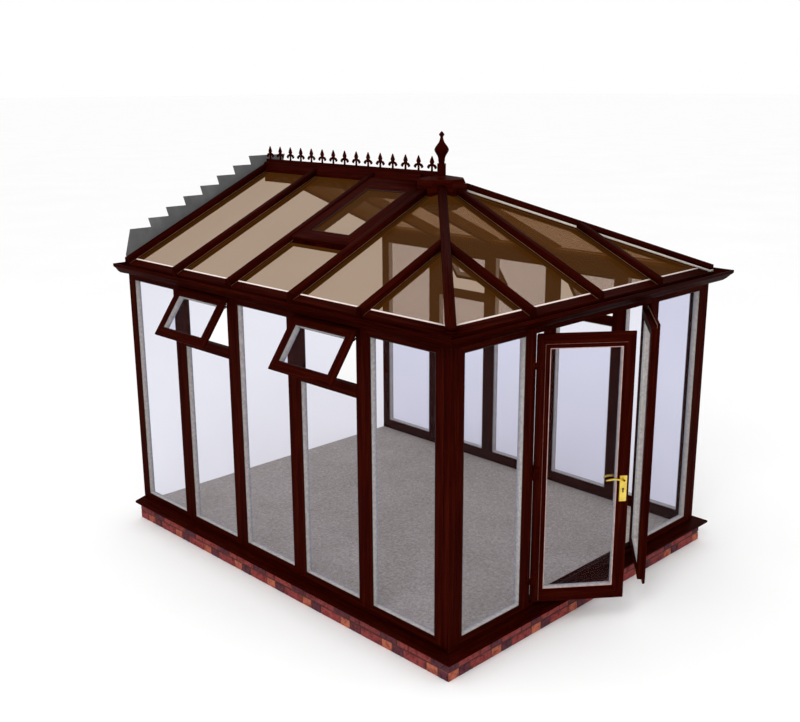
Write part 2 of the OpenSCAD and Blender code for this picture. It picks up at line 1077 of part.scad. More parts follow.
module front_roof_panels() {
    edges = concat([-half_w - reach], front_bars, [half_w + reach]);
    color(bronze)
        for (i = [0 : len(edges) - 2])
            difference() {
                intersection() {
                    on_front_slope()
                        translate([edges[i] + web_half, slope_start, -body_top + seat])
                            cube([
                                edges[i + 1] - edges[i] - web_width,
                                slope_length,
                                panel_thickness - 2 * seat
                            ]);
                    front_zone(-eaves_overhang, half_w - hub_apothem - seat, web_half + seat);
                }
                hub_column(hub_apothem + seat, 0, tall);
            }
}

// ---- Roof vent in the bay beside the hub ----

vent_from = vent_bay_start + cap_width / 2 + roof_vent_gap;
vent_to = vent_bay_end - cap_width / 2 - roof_vent_gap;
vent_s0 = roof_vent_start / cos_p;
vent_s1 = (half_w - ridge_half - roof_vent_gap - cap_thickness * sin(pitch)) / cos_p;
kerb_inset = 8;
kerb_top = cap_thickness - kerb_height;

// The opening of the vent, as a block between two depths
module roof_vent_hole(top, foot) {
    on_left_slope()
        translate([vent_s0 + roof_vent_face, vent_from + roof_vent_face, -foot])
            cube([
                vent_s1 - vent_s0 - roof_vent_face - roof_vent_head,
                vent_to - vent_from - 2 * roof_vent_face,
                foot - top
            ]);
}

// The vent without its opening, cut back from the end cap of the ridge
module roof_vent_block(inset, top, foot) {
    difference() {
        on_left_slope()
            translate([vent_s0 + inset, vent_from + inset, -foot])
                cube([vent_s1 - vent_s0 - inset, vent_to - vent_from - 2 * inset, foot - top]);
        hub_column(cap_apothem + roof_vent_gap + inset, 0, tall);
        roof_vent_hole(top - 1, foot + 1);
    }
}

module roof_vent_frame() {
    color(wood) {
        difference() {
            intersection() {
                on_left_slope()
                    translate([0, vent_bay_start + web_half, -body_top + seat])
                        cube([
                            slope_length,
                            vent_bay_end - vent_bay_start - web_width,
                            panel_thickness - 2 * seat
                        ]);
                left_zone(roof_vent_start, half_w - web_half - seat, web_half);
            }
            hub_column(hub_apothem + seat, 0, tall);
            roof_vent_hole(web_top - 1, body_top + 1);
        }
        roof_vent_block(kerb_inset, kerb_top, cap_thickness + 1);
    }
}

module roof_vent_lid() {
    color(wood)
        roof_vent_block(0, kerb_top - lid_thickness, kerb_top);
}

module roof_vent_glass() {
    color(bronze)
        roof_vent_hole(kerb_top - lid_thickness + glass_setback, kerb_top);
}

// ---- Ridge ----

beam_foot = apex_panel_foot - beam_half * tan_p - beam_depth;

beam_outline = [
    [beam_half, beam_foot],
    [beam_half, apex_panel_foot - beam_half * tan_p],
    [web_half, apex_panel_foot - web_half * tan_p],
    [web_half, apex_panel_top - web_half * tan_p - seat],
    [0, apex_panel_top - seat],
    [-web_half, apex_panel_top - web_half * tan_p - seat],
    [-web_half, apex_panel_foot - web_half * tan_p],
    [-beam_half, apex_panel_foot - beam_half * tan_p],
    [-beam_half, beam_foot]
];

shoulder = 38;

ridge_outline = [
    [0, apex_panel_top],
    [ridge_half, apex_panel_top - ridge_half * tan_p],
    [ridge_half, apex_panel_top - ridge_half * tan_p + shoulder],
    [ridge_flat, ridge_top],
    [-ridge_flat, ridge_top],
    [-ridge_half, apex_panel_top - ridge_half * tan_p + shoulder],
    [-ridge_half, apex_panel_top - ridge_half * tan_p]
];

// An outline drawn in X and Z and run from the hub to the house
module along_ridge(outline) {
    translate([0, half_l, 0])
        rotate([90, 0, 0])
            linear_extrude(half_l - hub_y)
                polygon(outline);
}

module ridge_beam() {
    color(wood)
        difference() {
            along_ridge(beam_outline);
            hub_column(hub_apothem, 0, tall);
        }
}

module ridge_cap() {
    color(wood)
        difference() {
            along_ridge(ridge_outline);
            hub_column(cap_apothem, 0, tall);
        }
}

hub_top = apex_cap - 10;
hub_foot = apex_panel_foot - (hub_apothem + boss_flare) * tan_p - (body_depth + 8) / cos_p;
cap_bevel = 24;
cap_peak = 26;
cap_ledge = 7;
peak_apothem = cap_apothem - cap_bevel - cap_ledge;
skirt_drop = 38;
skirt_top = apex_cap - skirt_drop;

// Everything outside the eight planes that lean in from one level to a higher one
module hub_slant(apothem_low, apothem_high, from_z, to_z) {
    lean = atan2(apothem_low - apothem_high, to_z - from_z);
    for (k = [0 : 7])
        translate([0, hub_y, from_z])
            rotate(45 * k)
                translate([apothem_low, 0, 0])
                    rotate([0, -lean, 0])
                        translate([0, -reach, -2 * reach])
                            cube([2 * reach, 2 * reach, 4 * reach]);
}

module ridge_hub() {
    color(wood)
        hub_column(hub_apothem, hub_foot, hub_top);
}

module ridge_boss() {
    boss_foot = hub_foot - boss_height;
    color(wood)
        difference() {
            hub_column(hub_apothem + boss_flare, boss_foot, hub_foot);
            hub_slant(hub_apothem - boss_flare, hub_apothem + boss_flare, boss_foot, hub_foot);
        }
}

module end_cap() {
    bevel_top = ridge_top - cap_peak;
    color(wood)
        difference() {
            union() {
                difference() {
                    hub_column(cap_apothem, skirt_top - reach, bevel_top);
                    hub_slant(cap_apothem, cap_apothem - cap_bevel, skirt_top, bevel_top);
                }
                difference() {
                    hub_column(peak_apothem + 5, bevel_top, ridge_top);
                    hub_slant(peak_apothem, finial_foot / 2, bevel_top, ridge_top);
                }
            }
            hub_column(hub_apothem + seat, 0, hub_top + seat);
            roof_block(cap_thickness);
        }
}

module spike() {
    h = spike_height;
    linear_extrude(cresting_thickness, center = true)
        polygon([
            [-7, 0], [-7, h * 0.34], [-24, h * 0.36], [-24, h * 0.42], [-10, h * 0.46],
            [-26, h * 0.56], [-24, h * 0.66], [-12, h * 0.58], [-14, h * 0.72], [0, h],
            [14, h * 0.72], [12, h * 0.58], [24, h * 0.66], [26, h * 0.56], [10, h * 0.46],
            [24, h * 0.42], [24, h * 0.36], [7, h * 0.34], [7, 0]
        ]);
}

cresting_foot = 14;
cresting_half = 8;
first_spike = half_l - (spikes - 0.35) * spike_pitch;
// The strip that carries the spikes, in [distance from the hub, height above the ridge]
cresting_strip = [
    [finial_foot / 2, 0],
    [peak_apothem, -cap_peak],
    [cap_apothem, -cap_peak],
    [cap_apothem, 0],
    [half_l - hub_y, 0],
    [half_l - hub_y, cresting_foot],
    [finial_foot / 2, cresting_foot]
];

module cresting() {
    color(wood)
        translate([0, 0, ridge_top]) {
            translate([-cresting_half, hub_y, 0])
                rotate([90, 0, 90])
                    linear_extrude(2 * cresting_half)
                        polygon(cresting_strip);
            for (i = [0 : spikes - 1])
                translate([0, first_spike + i * spike_pitch, cresting_foot - 2])
                    rotate([90, 0, 90])
                        spike();
        }
}

module finial() {
    f = finial_foot / 2;
    h = finial_height;
    color(wood)
        translate([0, hub_y, ridge_top]) {
            translate([-f, -f, 0])
                cube([2 * f, 2 * f, h * 0.26]);
            translate([0, 0, h * 0.26])
                rotate_extrude()
                    polygon([
                        [0, 0], [f * 0.9, 0], [f * 0.55, h * 0.05], [f * 0.6, h * 0.14],
                        [f * 1.1, h * 0.24], [f * 1.6, h * 0.31], [f * 1.7, h * 0.36],
                        [f * 1.3, h * 0.42], [f * 0.5, h * 0.48], [f * 0.4, h * 0.54],
                        [f * 0.75, h * 0.6], [f * 0.7, h * 0.64], [f * 0.2, h * 0.7], [0, h * 0.74]
                    ]);
        }
}

// ---- Stepped lead against the house wall ----

lead_first_top = cap_top + lead_first_rise;

// The left half, in [distance from the middle, height]
lead_points = concat(
    [[-half_w - 12, cap_top + 48]],
    [for (i = [0 : lead_steps - 1]) each [
        [-half_w + lead_first + i * lead_step, lead_first_top + i * lead_rise],
        [-half_w + lead_first + (i + 1) * lead_step + lead_lean, lead_first_top + i * lead_rise]
    ]],
    [[-half_w + lead_first + lead_steps * lead_step, lead_first_top + lead_steps * lead_rise]]
);

lead_apex = apex_panel_foot;

module lead_flashing() {
    right = [for (i = [len(lead_points) - 1 : -1 : 0]) [-lead_points[i][0], lead_points[i][1]]];
    foot = [[half_w, panel_foot], [0, lead_apex], [-half_w, panel_foot]];
    color([0.36, 0.36, 0.37])
        translate([0, half_l + lead_thickness, 0])
            rotate([90, 0, 0])
                linear_extrude(lead_thickness)
                    polygon(concat(lead_points, right, foot));
}

brick_plinth();
floor_slab();
side_sills();
front_sill();
posts();
fixed_windows();
vent_windows();
wall_glass();
side_panels();
side_panel_glass();
vent_sashes();
vent_glass();
vent_stays();
vent_handles();
door_jambs();
door_head();
door_threshold();
door_leaf_left();
door_glass_left();
door_leaf_right();
door_glass_right();
hinge_pins();
hinge_flags_left();
hinge_flags_right();
door_backplates();
door_lever();
side_eaves();
front_eaves();
side_gutters();
front_gutter();
rafters();
hip_rafters();
side_roof_panels();
front_roof_panels();
roof_vent_frame();
roof_vent_lid();
roof_vent_glass();
ridge_beam();
ridge_cap();
ridge_hub();
ridge_boss();
end_cap();
cresting();
finial();
lead_flashing();
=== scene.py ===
import json
import math
import random

import bmesh
import bpy
from mathutils import Matrix, Vector


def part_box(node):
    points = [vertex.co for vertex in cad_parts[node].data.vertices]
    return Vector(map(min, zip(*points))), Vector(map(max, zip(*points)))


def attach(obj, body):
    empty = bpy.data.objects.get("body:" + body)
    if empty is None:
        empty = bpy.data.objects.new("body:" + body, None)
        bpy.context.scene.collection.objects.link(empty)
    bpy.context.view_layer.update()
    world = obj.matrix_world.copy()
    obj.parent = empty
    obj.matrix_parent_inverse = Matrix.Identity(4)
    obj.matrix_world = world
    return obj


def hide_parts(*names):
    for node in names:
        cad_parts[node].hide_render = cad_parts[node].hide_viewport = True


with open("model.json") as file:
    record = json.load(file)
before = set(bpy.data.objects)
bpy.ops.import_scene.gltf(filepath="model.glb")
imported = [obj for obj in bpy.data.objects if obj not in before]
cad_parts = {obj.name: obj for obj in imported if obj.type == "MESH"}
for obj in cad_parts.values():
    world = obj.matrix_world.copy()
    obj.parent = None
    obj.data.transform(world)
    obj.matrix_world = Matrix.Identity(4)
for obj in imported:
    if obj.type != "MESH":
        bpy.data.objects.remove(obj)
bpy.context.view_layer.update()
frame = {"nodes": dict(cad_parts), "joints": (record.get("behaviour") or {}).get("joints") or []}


# ---- Brickwork ----
# A low plinth of two courses of clay facing bricks, one stretcher to two headers, in red, plum
# and orange clay. The bricks are bedded in a brown mortar that is struck a few millimetres
# back from their faces.

plinth_low, plinth_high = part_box("brick_plinth")
stretcher, header, brick_height, brick_depth = 0.215, 0.1025, 0.065, 0.097
cut_brick, least_brick = 0.160, 0.045
joint, mortar_depth = 0.010, 0.004
rng = random.Random(7)


def choose_all():
    """Selects the whole of the open piece."""
    bpy.ops.mesh.select_all(action="SELECT")


def start(primitive, **at):
    """Puts everything down, adds a primitive and opens it for shaping, selected all over."""
    bpy.ops.object.select_all(action="DESELECT")
    primitive(**at)
    bpy.ops.object.mode_set(mode="EDIT")
    bpy.ops.mesh.select_mode(type="VERT")
    choose_all()


def choose(kind, test):
    """Selects the vertices, edges or faces of the open piece that pass a test."""
    bpy.ops.mesh.select_mode(type=kind)
    bpy.ops.mesh.select_all(action="DESELECT")
    mesh = bpy.context.object.data
    shape = bmesh.from_edit_mesh(mesh)
    parts = {"VERT": shape.verts, "EDGE": shape.edges, "FACE": shape.faces}[kind]
    for part in parts:
        if test(part):
            part.select_set(True)
    bmesh.update_edit_mesh(mesh)


def close(name, finish, smooth=30):
    """Closes the open piece: normals out, place applied, soft edges, name and finish."""
    choose_all()
    bpy.ops.mesh.normals_make_consistent()
    bpy.ops.object.mode_set(mode="OBJECT")
    bpy.ops.object.transform_apply()
    bpy.ops.object.shade_smooth_by_angle(angle=math.radians(smooth))
    piece = bpy.context.object
    piece.name = piece.data.name = name
    piece.data.materials.append(finish)
    return piece


def pick(*pieces):
    """Selects these pieces and nothing else, with the first one active."""
    bpy.ops.object.select_all(action="DESELECT")
    for piece in pieces:
        piece.select_set(True)
    bpy.context.view_layer.objects.active = pieces[0]


def work(piece, kind, **settings):
    """Adds a modifier to a piece and applies it."""
    pick(piece)
    tool = piece.modifiers.new(kind.title(), kind)
    for key, value in settings.items():
        setattr(tool, key, value)
    bpy.ops.object.modifier_apply(modifier=tool.name)
    return piece


def colour(red, green, blue):
    """A colour chip in 0 to 255, as the linear colour that a shader takes."""
    chip = [c / 255 for c in (red, green, blue)]
    return [c / 12.92 if c <= 0.04045 else ((c + 0.055) / 1.055) ** 2.4 for c in chip] + [1]


def add(tree, kind, inputs=None, **settings):
    """Adds a shader node: inputs are values, or sockets to link from."""
    made = tree.nodes.new("ShaderNode" + kind)
    for key, value in settings.items():
        setattr(made, key, value)
    for key, value in (inputs or {}).items():
        if isinstance(value, bpy.types.NodeSocket):
            tree.links.new(value, made.inputs[key])
        else:
            made.inputs[key].default_value = value
    return made


def new_finish(name, where="Object"):
    """An empty material, its node tree, and where each point of the piece is."""
    material = bpy.data.materials.new(name)
    material.use_nodes = True
    tree = material.node_tree
    tree.nodes.clear()
    return material, tree, add(tree, "TexCoord").outputs[where]


def noise(tree, place, scale, detail, roughness=0.5, distortion=0):
    """Clouds or grain, as Fac and Color."""
    return add(tree, "TexNoise", {
        "Vector": place, "Scale": scale, "Detail": detail, "Roughness": roughness,
        "Distortion": distortion,
    }).outputs


def ramp(tree, source, stops):
    """A ramp over a value. A stop holds a place, and a colour chip or a linear colour of four."""
    blend = add(tree, "ValToRGB", {"Fac": source})
    points = blend.color_ramp.elements
    while len(points) < len(stops):
        points.new(0.5)
    for point, (place, shade) in zip(points, stops):
        point.position, point.color = place, shade if len(shade) == 4 else colour(*shade)
    return blend.outputs["Color"]


def mixed(tree, share, under, over, blend="MULTIPLY"):
    """One colour laid over another."""
    return add(tree, "MixRGB", {"Fac": share, "Color1": under, "Color2": over},
               blend_type=blend).outputs["Color"]


def skin(material, shade, rough, bump, specular=0.5, metallic=0):
    """Ends a finish.

    rough holds a source and the roughness at its two ends, bump a strength, depth and source.
    """
    tree = material.node_tree
    dull = add(tree, "MapRange", {"Value": rough[0], "To Min": rough[1], "To Max": rough[2]})
    dents = add(tree, "Bump", {"Strength": bump[0], "Distance": bump[1], "Height": bump[2]})
    body = add(tree, "BsdfPrincipled", {
        "Base Color": shade, "Roughness": dull.outputs["Result"], "Metallic": metallic,
        "Specular IOR Level": specular, "Normal": dents.outputs["Normal"],
    })
    add(tree, "OutputMaterial", {"Surface": body.outputs["BSDF"]})
    return material


plum, red, orange = 0.06, 0.42, 0.88


def course(begin, end, kinds):
    """The ends and tone of each brick in a course; kinds holds lengths and tones in turn."""
    spans, at = [], begin
    while at < end:
        long, tone = kinds[len(spans) % len(kinds)]
        to = end if end - at - long < joint + least_brick else at + long
        spans.append((at, to, tone + rng.gauss(0, 0.05)))
        at = to + joint
    return spans


def brick_finish():
    """Fired clay, from plum to orange by each brick's tone, with burnt clouds and pale bloom."""
    material, tree, place = new_finish("clay_brick")
    tone = add(tree, "Attribute", attribute_name="tone").outputs["Fac"]
    body = ramp(tree, tone, [
        (0.0, (88, 48, 58)), (0.22, (108, 52, 56)), (0.45, (146, 64, 62)),
        (0.7, (162, 80, 66)), (1.0, (186, 108, 82)),
    ])
    cloud, grit = noise(tree, place, 24, 6, 0.7), noise(tree, place, 420, 3)
    burn = ramp(tree, cloud["Fac"], [
        (0.36, (150, 128, 142)), (0.52, (240, 236, 238)), (0.66, (255, 255, 255)),
    ])
    bloom = ramp(tree, grit["Fac"], [(0.62, [0, 0, 0, 1]), (0.8, [0.3, 0.3, 0.3, 1])])
    pale = mixed(tree, bloom, mixed(tree, 0.9, body, burn), colour(222, 200, 186), "MIX")
    height = mixed(tree, 0.5, cloud["Color"], grit["Color"], "MIX")
    return skin(material, pale, (cloud["Fac"], 0.95, 0.75), (0.5, 0.0015, height), 0.1)


def lay_bricks():
    quoin = brick_depth + joint
    low, high, face = plinth_low, plinth_high, brick_depth / 2
    bond = (
        ((header, orange), (header, plum), (stretcher, red)),
        ((stretcher, red), (header, red), (header, plum)),
    )
    side_bond = (
        ((header, orange), (stretcher, red), (header, plum)),
        ((cut_brick, plum), (stretcher, red), (header, red)),
    )
    bricks = []
    for level in (0, 1):
        z = low.z + level * (brick_height + joint) + brick_height / 2
        inset = quoin * level
        for a, b, tone in course(low.x + inset, high.x - inset, bond[level]):
            end_tone = plum if a == low.x else tone
            bricks.append(((a + b) / 2, low.y + face, z, b - a, brick_depth, tone, end_tone))
        for a, b, tone in course(low.y + quoin * (1 - level), high.y, side_bond[level]):
            for x in (low.x + face, high.x - face):
                bricks.append((x, (a + b) / 2, z, brick_depth, b - a, tone, tone))
    start(bpy.ops.mesh.primitive_cube_add, size=1)
    bpy.ops.mesh.delete(type="VERT")
    for x, y, z, wide, deep, *_ in bricks:
        bpy.ops.mesh.primitive_cube_add(
            size=1, location=(x, y, z), rotation=(0, 0, rng.uniform(-0.003, 0.003)),
            scale=(wide, deep, brick_height),
        )
    bpy.ops.object.mode_set(mode="OBJECT")
    mesh = bpy.context.object.data
    tones = mesh.attributes.new("tone", "FLOAT", "FACE")
    for number, (*_, tone, end_tone) in enumerate(bricks):
        for side in mesh.polygons[number * 6:number * 6 + 6]:
            shade = end_tone if abs(side.normal.x) > 0.9 else tone
            tones.data[side.index].value = min(1, max(0, shade))
    bpy.ops.object.mode_set(mode="EDIT")
    choose_all()
    bpy.ops.mesh.bevel(offset=0.0035, segments=2)
    choose("FACE", lambda f: f.calc_area() > 0.003)
    bpy.ops.mesh.subdivide(number_cuts=2)
    return close("bricks", brick_finish(), 50)


bricks = lay_bricks()
wear = bpy.data.textures.new("brick_wear", "CLOUDS")
wear.noise_scale = 0.035
work(bricks, "DISPLACE", texture=wear, strength=0.003, mid_level=0.6)
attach(bricks, "frame")
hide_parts("brick_plinth")


def draw(corners, rounds=(), filled=True):
    """Draws a line in X and Z corner by corner, fills it in, and rounds chosen corners.

    rounds holds (radius, segments, numbers of the corners).
    """
    start(bpy.ops.mesh.primitive_plane_add, size=0.001)
    bpy.ops.mesh.merge(type="CENTER")
    bpy.ops.transform.translate(value=(corners[0][0], 0, corners[0][1]))
    for (x0, z0), (x1, z1) in zip(corners, corners[1:]):
        bpy.ops.mesh.extrude_vertices_move(
            TRANSFORM_OT_translate={"value": (x1 - x0, 0, z1 - z0)})
    choose_all()
    if filled:
        bpy.ops.mesh.edge_face_add()
    for radius, segments, numbers in rounds:
        spots = [Vector((corners[n][0], 0, corners[n][1])) for n in numbers]
        choose("VERT", lambda v: any((v.co - spot).length < 1e-5 for spot in spots))
        bpy.ops.mesh.bevel(offset=radius, segments=segments, affect="VERTICES")
    choose_all()


def pull(x, y, z):
    """Extrudes what is selected."""
    bpy.ops.mesh.extrude_region_move(TRANSFORM_OT_translate={"value": (x, y, z)})


def stone_finish(name, fine, wide, shades, tints, rough, bump):
    """Sand or aggregate, tinted in patches; fine and wide hold a noise's scale and detail."""
    material, tree, place = new_finish(name)
    grain, patch = noise(tree, place, *fine)["Fac"], noise(tree, place, *wide)["Fac"]
    shade = mixed(tree, 1, ramp(tree, grain, shades), ramp(tree, patch, tints))
    return skin(material, shade, (grain, *rough), (*bump, grain), 0.15)


brown_mortar = stone_finish(
    "lime_mortar", (350, 5, 0.7), (9, 3), [(0.3, (58, 38, 36)), (0.7, (98, 70, 64))],
    [(0.35, (200, 196, 192)), (0.65, (255, 255, 255))], (0.8, 1), (0.6, 0.001))


def lay_mortar():
    (x0, y0, _), (x1, y1, z1) = plinth_low, plinth_high
    out, back = mortar_depth, 0.092
    draw([
        (x0 + out, -y1), (x0 + out, -y0 - out), (x1 - out, -y0 - out), (x1 - out, -y1),
        (x1 - back, -y1), (x1 - back, -y0 - back), (x0 + back, -y0 - back), (x0 + back, -y1),
    ], [(0.003, 2, (1, 2))])
    bpy.ops.transform.rotate(value=-math.pi / 2, orient_axis="X", center_override=(0, 0, 0))
    pull(0, 0, z1 - 0.0005)
    return close("mortar", brown_mortar)


mortar = lay_mortar()
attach(mortar, "frame")


# ---- Floor ----
# The plinth is filled with hardcore and concrete and finished with a thin grey screed, level
# with the top of the brickwork. It takes a fine grey fleck from its aggregate.

screed_rough, screed_bump = (0.95, 0.8), (0.4, 0.001)


def dress(finish, *nodes):
    """Gives parts that keep their shape a finish."""
    for node in nodes:
        for place in frame["nodes"][node].material_slots:
            place.material = finish


dress(stone_finish(
    "fleck_screed", (42, 9, 0.9), (2.2, 3),
    [(0.34, (128, 122, 116)), (0.5, (171, 164, 158)), (0.66, (212, 205, 198))],
    [(0.3, (238, 236, 234)), (0.7, (255, 255, 255))], screed_rough, screed_bump,
), "floor_slab")


# ---- Sill ----
# A hollow plastic sill under the frames, wrapped in rosewood foil like all the joinery. It has
# a sloping weathering, a rounded nose and a drip groove, and is mitred at both front corners.

frame_low, frame_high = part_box("fixed_windows")
half_width, top = frame_high.x, frame_high.z
front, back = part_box("posts")[0].y, plinth_high.y
sill_low, sill_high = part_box("side_sills")
sill_out = -half_width - sill_low.x
sill_in = 0.060
hair = 0.0002  # keeps two faces from lying in one plane
around = [(-half_width, back), (-half_width, front), (half_width, front), (half_width, back)]


def lay_grain(piece, way, slide=0):
    """Lays the foil: U runs along the grain and V across it, both in metres.

    way is a direction, or a function that gives one for a face. slide moves the pattern along.
    """
    mesh = piece.data
    sheet = mesh.uv_layers.active or mesh.uv_layers.new(name="foil")
    for face in mesh.polygons:
        along = Vector(way(face) if callable(way) else way).normalized()
        if abs(face.normal.dot(along)) > 0.8:
            along = along.orthogonal().normalized()
        across = face.normal.cross(along).normalized()
        for corner in face.loop_indices:
            spot = mesh.vertices[mesh.loops[corner].vertex_index].co
            sheet.data[corner].uv = spot.dot(along) + slide, spot.dot(across) + slide * 0.37
    return piece


def foil_finish(name, light=1.0, grainy=True):
    """Rosewood foil: fine dark pores and lighter streaks over a deep red brown."""
    material, tree, place = new_finish(name, "UV" if grainy else "Object")

    def grain(stretch, *kind):
        lengthened = add(tree, "Mapping", {"Vector": place, "Scale": stretch})
        return noise(tree, lengthened.outputs["Vector"], 1, *kind)["Fac"]

    fine = grain((5, 260, 1) if grainy else (60,) * 3, 4, 0.65, 0.3)
    wide = grain((1.1, 34, 1) if grainy else (9,) * 3, 3, 0.5, 0.8)
    body = ramp(tree, wide, [
        (at, [light * part for part in shade] + [1]) for at, shade in (
            (0.30, (0.0145, 0.0009, 0.0003)), (0.50, (0.0235, 0.0015, 0.0005)),
            (0.72, (0.0375, 0.0038, 0.0011)),
        )
    ])
    pores = ramp(tree, fine, [
        (0.36, [0.30, 0.26, 0.26, 1]), (0.50, [0.95, 0.95, 0.95, 1]), (0.74, [1.5, 1.6, 1.6, 1]),
    ])
    return skin(material, mixed(tree, 0.85, body, pores), (fine, 0.55, 0.36),
                (0.25, 0.0004, fine), 0.003)


rosewood = foil_finish("rosewood_foil")


def stand(piece, foot, along, up):
    """Stands a piece drawn along Y at its foot, with its Y along and its Z up."""
    along, up = Vector(along).normalized(), Vector(up).normalized()
    pick(piece)
    turn = Matrix((along.cross(up), along, up)).transposed().to_4x4()
    piece.matrix_world = Matrix.Translation(foot) @ turn
    bpy.ops.object.transform_apply()
    return piece


def trim(piece, cuts):
    """Cuts a piece back behind planes, each a point and a direction to clear."""
    pick(piece)
    bpy.ops.object.mode_set(mode="EDIT")
    for point, way in cuts:
        choose_all()
        bpy.ops.mesh.bisect(plane_co=point, plane_no=way, use_fill=True, clear_outer=True)
    choose_all()
    bpy.ops.mesh.normals_make_consistent()
    bpy.ops.object.mode_set(mode="OBJECT")
    return piece


def join(name, pieces):
    """Makes one piece of several, or names one."""
    pick(*pieces)
    if len(pieces) > 1:
        bpy.ops.object.join()
    pieces[0].name = pieces[0].data.name = name
    return pieces[0]


def length(name, outline, rounds, foot, along, up, long, finish, cuts=()):
    """A straight length of a section, drawn with its outside to the right of the way it runs."""
    draw(outline, rounds)
    pull(0, long, 0)
    piece = close(name, finish)
    stand(piece, foot, along, up)
    lay_grain(piece, along, foot[0] + foot[1] * 0.7)
    return trim(piece, cuts) if cuts else piece


def run(name, outline, rounds, path, finish):
    """A section run round the plan, mitred at each corner. Outline X is the distance out."""
    spare = 0.4
    path = [Vector(spot) for spot in path]
    ways = [(b - a).normalized() for a, b in zip(path, path[1:])]
    legs = []
    for number, way in enumerate(ways):
        begin, end, cuts = path[number], path[number + 1], []
        if number:
            out = (ways[number - 1] + way).normalized()
            cuts.append(((*(begin + out * hair), 0), (*-out, 0)))
            begin = begin - way * spare
        if number < len(ways) - 1:
            out = (way + ways[number + 1]).normalized()
            cuts.append(((*(end - out * hair), 0), (*out, 0)))
            end = end + way * spare
        legs.append(length(f"{name}_{number}", outline, rounds, (*begin, 0), (*way, 0), (0, 0, 1),
                           (end - begin).length, finish, cuts))
    return join(name, legs)


def make_sill():
    foot, step, rise, nose = sill_low.z, 0.008, sill_high.z, 0.020
    ledge, board = 0.048, foot + 0.030
    return run("sill", [
        (-sill_in, foot), (ledge, foot), (ledge + step, foot + step), (0.078, foot + step),
        (0.081, foot + step + 0.005), (0.086, foot + step + 0.005), (0.089, foot + step),
        (sill_out, foot + step), (sill_out, foot + step + nose), (0, rise), (0, board),
        (-sill_in, board),
    ], [(0.005, 4, (8,)), (0.003, 3, (7,)), (0.0015, 2, (9, 11))], around, rosewood)


sill = make_sill()
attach(sill, "frame")
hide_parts("side_sills", "front_sill")


# ---- Posts ----
# Square foil-wrapped posts at the two front corners, and a narrow packing strip where each
# side wall meets the house. The frames are screwed to them from inside.

frame_foot = frame_low.z
depth = 0.060
strip = back - frame_high.y


def upright(name, x, y, wide, deep):
    corners = [(0, 0), (wide, 0), (wide, -deep), (0, -deep)]
    return length(name, corners, [(0.0025, 3, (0, 1, 2, 3))], (x, y, frame_foot), (0, 0, 1),
                  (0, -1, 0), top - frame_foot, rosewood)


posts = join("posts_and_strips", [
    upright("post", -half_width, front, depth, depth),
    upright("strip", -half_width + 0.001, back - strip, depth - 0.001, strip),
])
work(posts, "MIRROR")
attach(posts, "frame")
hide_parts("posts")


# ---- Window frames ----
# Welded plastic frames, five to a side and one on each side of the doors. Each is four lengths
# mitred at the corners: a sharp outer edge, a splay down to the glass outside and a rounded
# glazing bead inside. The second and fourth have a bar under an opening vent.

face = 0.072
module = (frame_high.y - frame_low.y) / 5
side_start = front + depth


def settle():
    """Applies the open piece's place and turn, so that its corners can be told by their place."""
    bpy.ops.object.mode_set(mode="OBJECT")
    bpy.ops.object.transform_apply()
    bpy.ops.object.mode_set(mode="EDIT")


def ring(name, wide, high, member, deep, finish, soft=(0.0015, 0.004, 0.0015, 0.009), rail=None):
    """A mitred frame in X and Z about the origin, its outside at Y = 0 and its depth along Y.

    soft holds the rounding of the outer front, inner front, outer back and inner back edges.
    """
    start(bpy.ops.mesh.primitive_plane_add, size=1, rotation=(math.pi / 2, 0, 0))
    bpy.ops.transform.resize(value=(wide, 1, high), center_override=(0, 0, 0))
    bpy.ops.mesh.inset(thickness=member)
    if rail:
        for side in (-1, 1):
            edge = side * (high / 2 - member)
            choose("EDGE", lambda e: all(abs(v.co.y - edge) < 1e-5 for v in e.verts))
            bpy.ops.transform.translate(value=(0, 0, side * (member - rail)))
        choose("FACE", lambda f: f.calc_center_median().length < 1e-4)
    bpy.ops.mesh.delete(type="FACE")
    settle()
    choose_all()
    pull(0, deep, 0)
    choose_all()
    bpy.ops.mesh.normals_make_consistent()
    half_in = wide / 2 - member

    def on_rim(e, level, inner):
        a, b = (v.co for v in e.verts)
        if max(abs(b.x - a.x), abs(b.z - a.z)) <= 0.999 * (b - a).length:
            return False
        at_level = abs(a.y - level) < 1e-5 and abs(b.y - a.y) < 1e-5
        return at_level and (max(abs(a.x), abs(b.x)) < half_in + 1e-4) == inner

    for amount, level, inner in zip(soft, (0, 0, deep, deep), (False, True, False, True)):
        if amount:
            choose("EDGE", lambda e: on_rim(e, level, inner))
            bpy.ops.mesh.bevel(offset=amount, segments=3 if amount > 0.006 else 1)
    piece = close(name, finish)
    rail = rail or member

    def way(f):
        x, z = abs(f.center.x), abs(f.center.z)
        return (0, 0, 1) if (wide / 2 - x) / member < (high / 2 - z) / rail else (1, 0, 0)

    return lay_grain(piece, way, wide + high * 3)


def shift(piece, x=0, y=0, z=0, turn=0, tilt=0):
    """Turns a piece about the upright or tilts it about X at the origin, then moves it."""
    pick(piece)
    piece.location, piece.rotation_euler = (x, y, z), (tilt, 0, turn)
    bpy.ops.object.transform_apply()
    return piece


def along_wall(piece, first, count, height):
    """Hangs a piece on the left wall in every second window, then on the right wall too."""
    shift(piece, -half_width, side_start + module * (first + 0.5), height, -math.pi / 2)
    work(piece, "ARRAY", count=count, use_relative_offset=False, use_constant_offset=True,
         constant_offset_displace=(0, 2 * module, 0), offset_u=0.37, offset_v=0.11)
    return work(piece, "MIRROR", mirror_offset_u=0.23)


window_high = top - frame_foot
middle = frame_foot + window_high / 2
light_wide = module - 2 * face
light_foot, light_top = frame_foot + face, top - face
vent_clear, bar_high = 0.383, 0.080
bar_foot = light_top - vent_clear - bar_high

